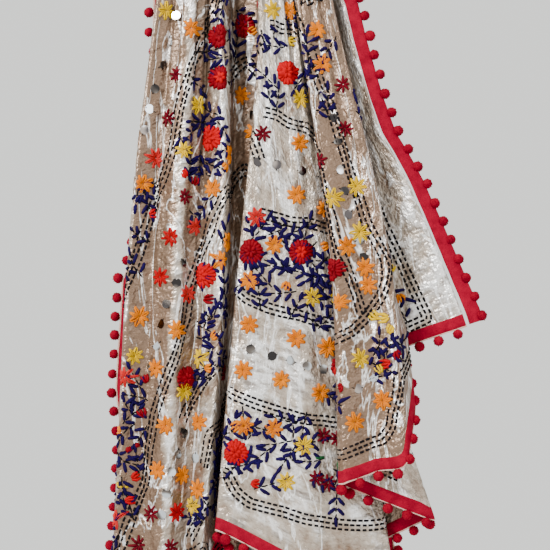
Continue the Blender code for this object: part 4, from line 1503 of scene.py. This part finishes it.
# %% [markdown]
# ## Floor and light
#
# Silk with metal thread shows what it mirrors, so the room matters. The floor is
# plain and pale and fades into the room's own light far away. One strong lamp
# from the left draws the folds, and wide soft ones fill their shadows.

# %% stage
ROOM_LIGHT, ROOM_STRENGTH = (0.99, 1.0, 0.97), 1.2
FLOOR_HALF = 8.0
FLOOR_GAP = 0.12


def plain_floor():
    """Pale matt floor that gives way to the room's own light far from the shawl."""
    made, tree, shader = new_material("pale_floor")
    place = add_node(tree, "ShaderNodeTexCoord").outputs["Object"]
    pale = ramp(tree, noise(tree, place, 3.0, 2.0), [(0.3, (0.90, 0.90, 0.89)), (0.7, (0.92, 0.92, 0.91))])
    finish_shader(tree, shader, {"Base Color": pale}, {"Roughness": 0.8})
    # far from the shawl the floor glows in the room's colour: painted light that hides where it ends
    away = add_node(tree, "ShaderNodeVectorMath", {"operation": "LENGTH"}, i0=place).outputs["Value"]
    far = ramp(tree, maths(tree, "MULTIPLY", away, 0.25), [(0.22, 0.0), (0.62, 1.0)])
    glow = add_node(tree, "ShaderNodeEmission", Color=(*ROOM_LIGHT, 1), Strength=ROOM_STRENGTH).outputs[0]
    both = add_node(tree, "ShaderNodeMixShader", i0=far, i1=shader.outputs[0], i2=glow).outputs[0]
    tree.links.new(both, tree.nodes["Material Output"].inputs["Surface"])
    return made


floor_mesh = bpy.data.meshes.new("floor")
corners = [(x * FLOOR_HALF, y * FLOOR_HALF, SOLID_BOX[0][2] - FLOOR_GAP)
           for x, y in ((-1, -1), (1, -1), (1, 1), (-1, 1))]
floor_mesh.from_pydata(corners, [], [(0, 1, 2, 3)])
floor_mesh.materials.append(plain_floor())
link_object("floor", floor_mesh)

world = bpy.data.worlds.new("soft_room")
world.use_nodes = True
world.node_tree.nodes["Background"].inputs[0].default_value = (*ROOM_LIGHT, 1)
world.node_tree.nodes["Background"].inputs[1].default_value = ROOM_STRENGTH
bpy.context.scene.world = world

LAMP_AIM = np.array([0, -0.1, -0.6])
Lamp = namedtuple("Lamp", "name place size power")
for lamp in (Lamp("key_lamp", (-1.5, -1.9, 0.7), 0.8, 125), Lamp("fill_lamp", (1.9, -1.7, -0.1), 1.4, 16),
             Lamp("top_lamp", (0.1, -0.6, 1.7), 1.2, 20), Lamp("rear_lamp", (-0.8, 2.2, 0.4), 1.6, 80)):
    light = bpy.data.lights.new(lamp.name, "AREA")
    light.size = lamp.size
    light.energy = lamp.power
    made = link_object(lamp.name, light)
    made.location = lamp.place
    towards = LAMP_AIM - np.array(lamp.place)
    made.rotation_euler = (math.acos(-towards[2] / np.linalg.norm(towards)), 0,
                           math.atan2(towards[1], towards[0]) - math.pi / 2)
print("lamps set")

# %% [markdown]
# ## Camera
#
# A level camera looks straight at the shawl, close enough to crop it. A long
# lens keeps the folds from being drawn out towards the sides. Its focal length
# follows from the width of cloth that it has to show.

# %% camera
VIEW_WIDTH = 0.5775
VIEW_MIDDLE = (45.2 * MM, -603.8 * MM)
CAMERA_DISTANCE = 1.6
SENSOR_WIDTH = 36.0
CLOTH_PLANE = -0.140
lens = bpy.data.cameras.new("camera")
lens.sensor_width = SENSOR_WIDTH
lens.lens = SENSOR_WIDTH * CAMERA_DISTANCE / VIEW_WIDTH
camera = link_object("camera", lens)
camera.location = (VIEW_MIDDLE[0], CLOTH_PLANE - CAMERA_DISTANCE, VIEW_MIDDLE[1])
camera.rotation_euler = (math.pi / 2, 0, 0)
bpy.context.scene.camera = camera
print("lens", round(lens.lens, 1), "mm")
